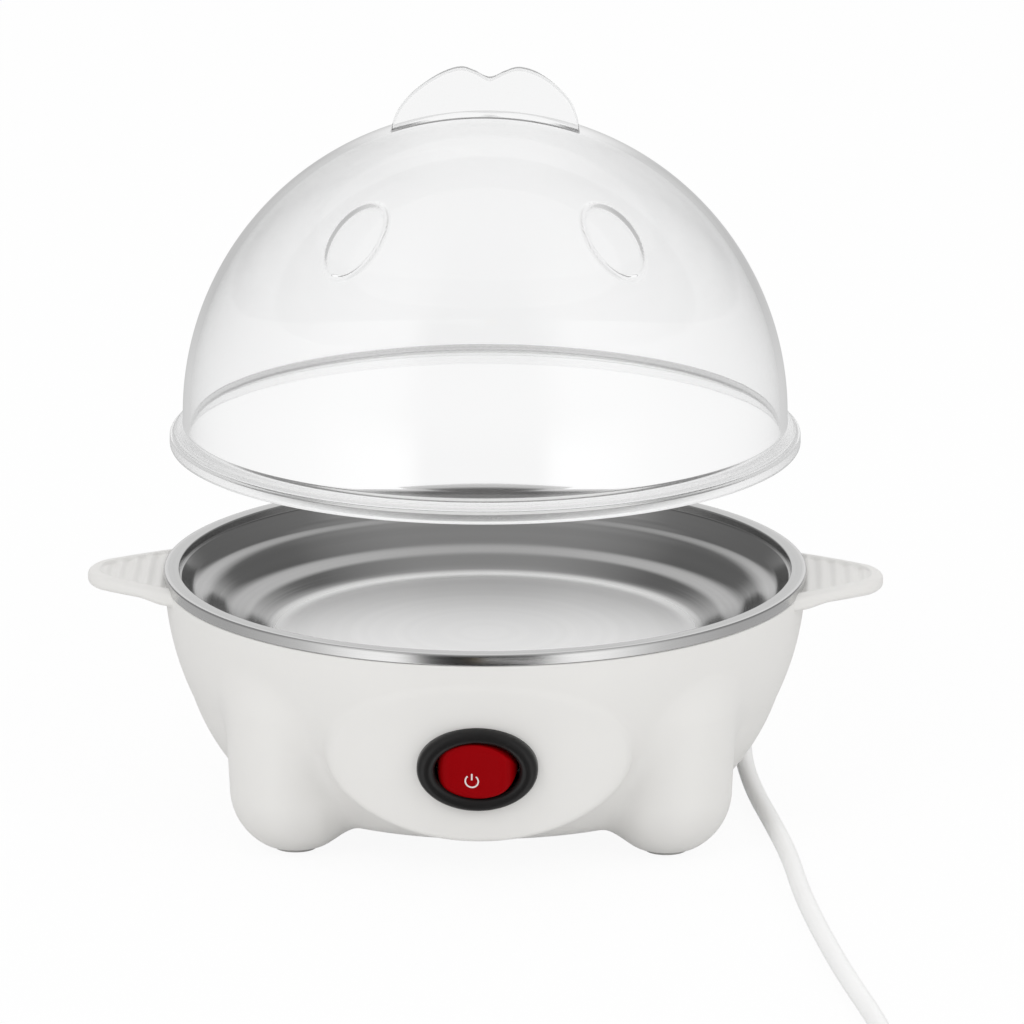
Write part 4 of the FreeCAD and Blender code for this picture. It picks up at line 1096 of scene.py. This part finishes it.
def makeCrest(c, l):
    # an outline from right to left that stands on the dome, with a rounded top edge
    line = smoothThrough(c["outline"], c["steps"])
    x = line[:, 0]
    apex = l["centre"] + l["radius"]
    seat = l["centre"] + np.sqrt(l["radius"] ** 2 - x**2) + c["seatGap"]
    top = np.maximum(apex + line[:, 1], seat + c["leastHeight"])
    climb = np.concatenate([np.linspace(0.0, 0.9, 10), 1.0 - 0.1 * np.linspace(0.85, 0.0, 8) ** 2])
    height = seat[:, None] + (top - seat)[:, None] * climb[None, :]
    drop = np.minimum((top[:, None] - height) / c["edgeRound"], 1.0)
    half = c["thick"] / 2 * np.sqrt(np.clip(1.0 - (1.0 - drop) ** 2, 0.0, 1.0))
    near = np.stack([x[:, None] + 0 * height, -half, height], axis=-1)
    back = np.stack([x[:, None] + 0 * height, half, height], axis=-1)[:, ::-1]
    crest = gridPiece("lidCrest", np.concatenate([near, back], axis=1), wrapV=True)
    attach(crest, "lid")
    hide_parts("lid_grip")
    dress(crest, clearPlastic("clearCrest", joint=c["joint"]))
    crest.visible_glossy = False


makeLid(lidSet)
makeCrest(crestSet, lidSet)
print("lid made")

# studio: a white floor that keeps a soft shadow, a white surround with a dark front, and soft lamps
lightSet = {
    "ambient": 0.87,
    "lowRing": [(0.0, 0.01), (0.03, 0.02), (0.055, 1.0), (0.14, 0.9), (0.3, 0.5), (0.6, 0.36), (1.0, 0.38)],
    "highRing": [
        (0.0, 0.16),
        (0.03, 0.18),
        (0.08, 0.6),
        (0.2, 0.6),
        (0.45, 0.26),
        (0.93, 0.17),
        (0.985, 0.68),
        (1.0, 0.68),
    ],
    "peak": 1.5,
    "rise": (4.0, 0.2),  # from the low ring to the high one, by height
    "over": (0.72, 4.5),  # from the rings to the ceiling
    "ceiling": 0.6,
    "inside": (0.95, 0.35),  # level that gloss sees through clear plastic, and its share
    "floorHalf": 3500.0,
    "floorLevel": -0.3,
    "floorColour": (0.9, 0.9, 0.9, 1.0),
    "floorWhite": 0.93,
    "white": (1.0, 1.0, 1.0, 1.0),
    "lamps": [
        ("keyLamp", (-0.9, -1.3, 1.5), (0.0, 0.0, 0.05), 1.0, 5.4),
        ("fillLamp", (1.2, -1.1, 1.0), (0.0, 0.0, 0.05), 1.0, 3.3),
        ("topLamp", (0.0, 0.25, 1.7), (0.0, 0.0, 0.05), 1.2, 1.6),
    ],
}


def makeWorld(s):
    # the eye and clear plastic see white, and gloss sees white cards beside a dark front and a grey back
    world = bpy.data.worlds.new("studioWorld")
    world.use_nodes = True
    scene.world = world
    tree = world.node_tree
    tree.nodes.clear()
    rays = ("Is Camera Ray", "Is Transmission Ray", "Is Glossy Ray", "Transmission Depth")
    eye, clear, gloss, depth = add(tree, "ShaderNodeLightPath", output=rays)
    seen = eye + clear
    through = depth.atMost(1.0)
    x, y, z = splitPlace(tree, add(tree, "ShaderNodeTexCoord", output="Generated"))
    flat = (x * x + y * y + 0.0001) ** 0.5
    turnShare = (1.0 + y / flat) * 0.5
    lowRing = ramp(tree, turnShare, s["lowRing"])
    highRing = ramp(tree, turnShare, s["highRing"])
    rise = (z * s["rise"][0] + s["rise"][1]).clamped()
    over = ((z - s["over"][0]) * s["over"][1]).clamped()
    ring = (lowRing + (highRing - lowRing) * rise) * s["peak"]
    room = ring + (s["ceiling"] - ring) * over
    bright = room + (s["inside"][0] - room) * through * s["inside"][1]
    unseen = (1.0 - seen).atLeast(0.0)
    strength = seen.atMost(1.0) + unseen * (s["ambient"] + gloss * (bright - s["ambient"]))
    shade = add(tree, "ShaderNodeBackground", inputs={"Color": s["white"], "Strength": strength})
    add(tree, "ShaderNodeOutputWorld", inputs={"Surface": shade})


def makeFloor(s):
    # a level square, white to the eye, to gloss and through clear plastic, but for the shadow's share
    line = np.linspace(-s["floorHalf"], s["floorHalf"], 3)
    grid = np.stack(np.meshgrid(line, line, [s["floorLevel"]]), axis=-1)
    floor = gridPiece("studioFloor", grid[:, :, 0], flip=True)
    material, tree = newMaterial("floorPaper")
    rays = ("Is Camera Ray", "Is Transmission Ray", "Is Glossy Ray")
    eye, clear, gloss = add(tree, "ShaderNodeLightPath", output=rays)
    seen = eye + clear + gloss
    plain = add(tree, "ShaderNodeBsdfDiffuse", inputs={"Color": s["floorColour"]})
    white = add(tree, "ShaderNodeEmission", inputs={"Color": s["white"], "Strength": 1.0})
    whiteShare = seen.atMost(1.0) * s["floorWhite"]
    mixed = add(tree, "ShaderNodeMixShader", inputs={0: whiteShare, 1: plain, 2: white})
    add(tree, "ShaderNodeOutputMaterial", inputs={"Surface": mixed})
    dress(floor, material)
    floor.visible_glossy = False


def makeLamps(lamps):
    for name, place, aim, size, power in lamps:
        data = bpy.data.lights.new(name, "AREA")
        data.shape = "DISK"
        data.size = size
        data.energy = power
        lamp = bpy.data.objects.new(name, data)
        lamp.visible_glossy = False
        lamp.visible_transmission = False
        scene.collection.objects.link(lamp)
        away = np.array(place) - np.array(aim)
        lamp.location = place
        tip = math.atan2(math.hypot(away[0], away[1]), away[2])
        lamp.rotation_euler = (tip, 0.0, math.atan2(away[0], -away[1]))


makeWorld(lightSet)
makeFloor(lightSet)
makeLamps(lightSet["lamps"])
print("studio lit")

bpy.context.view_layer.update()
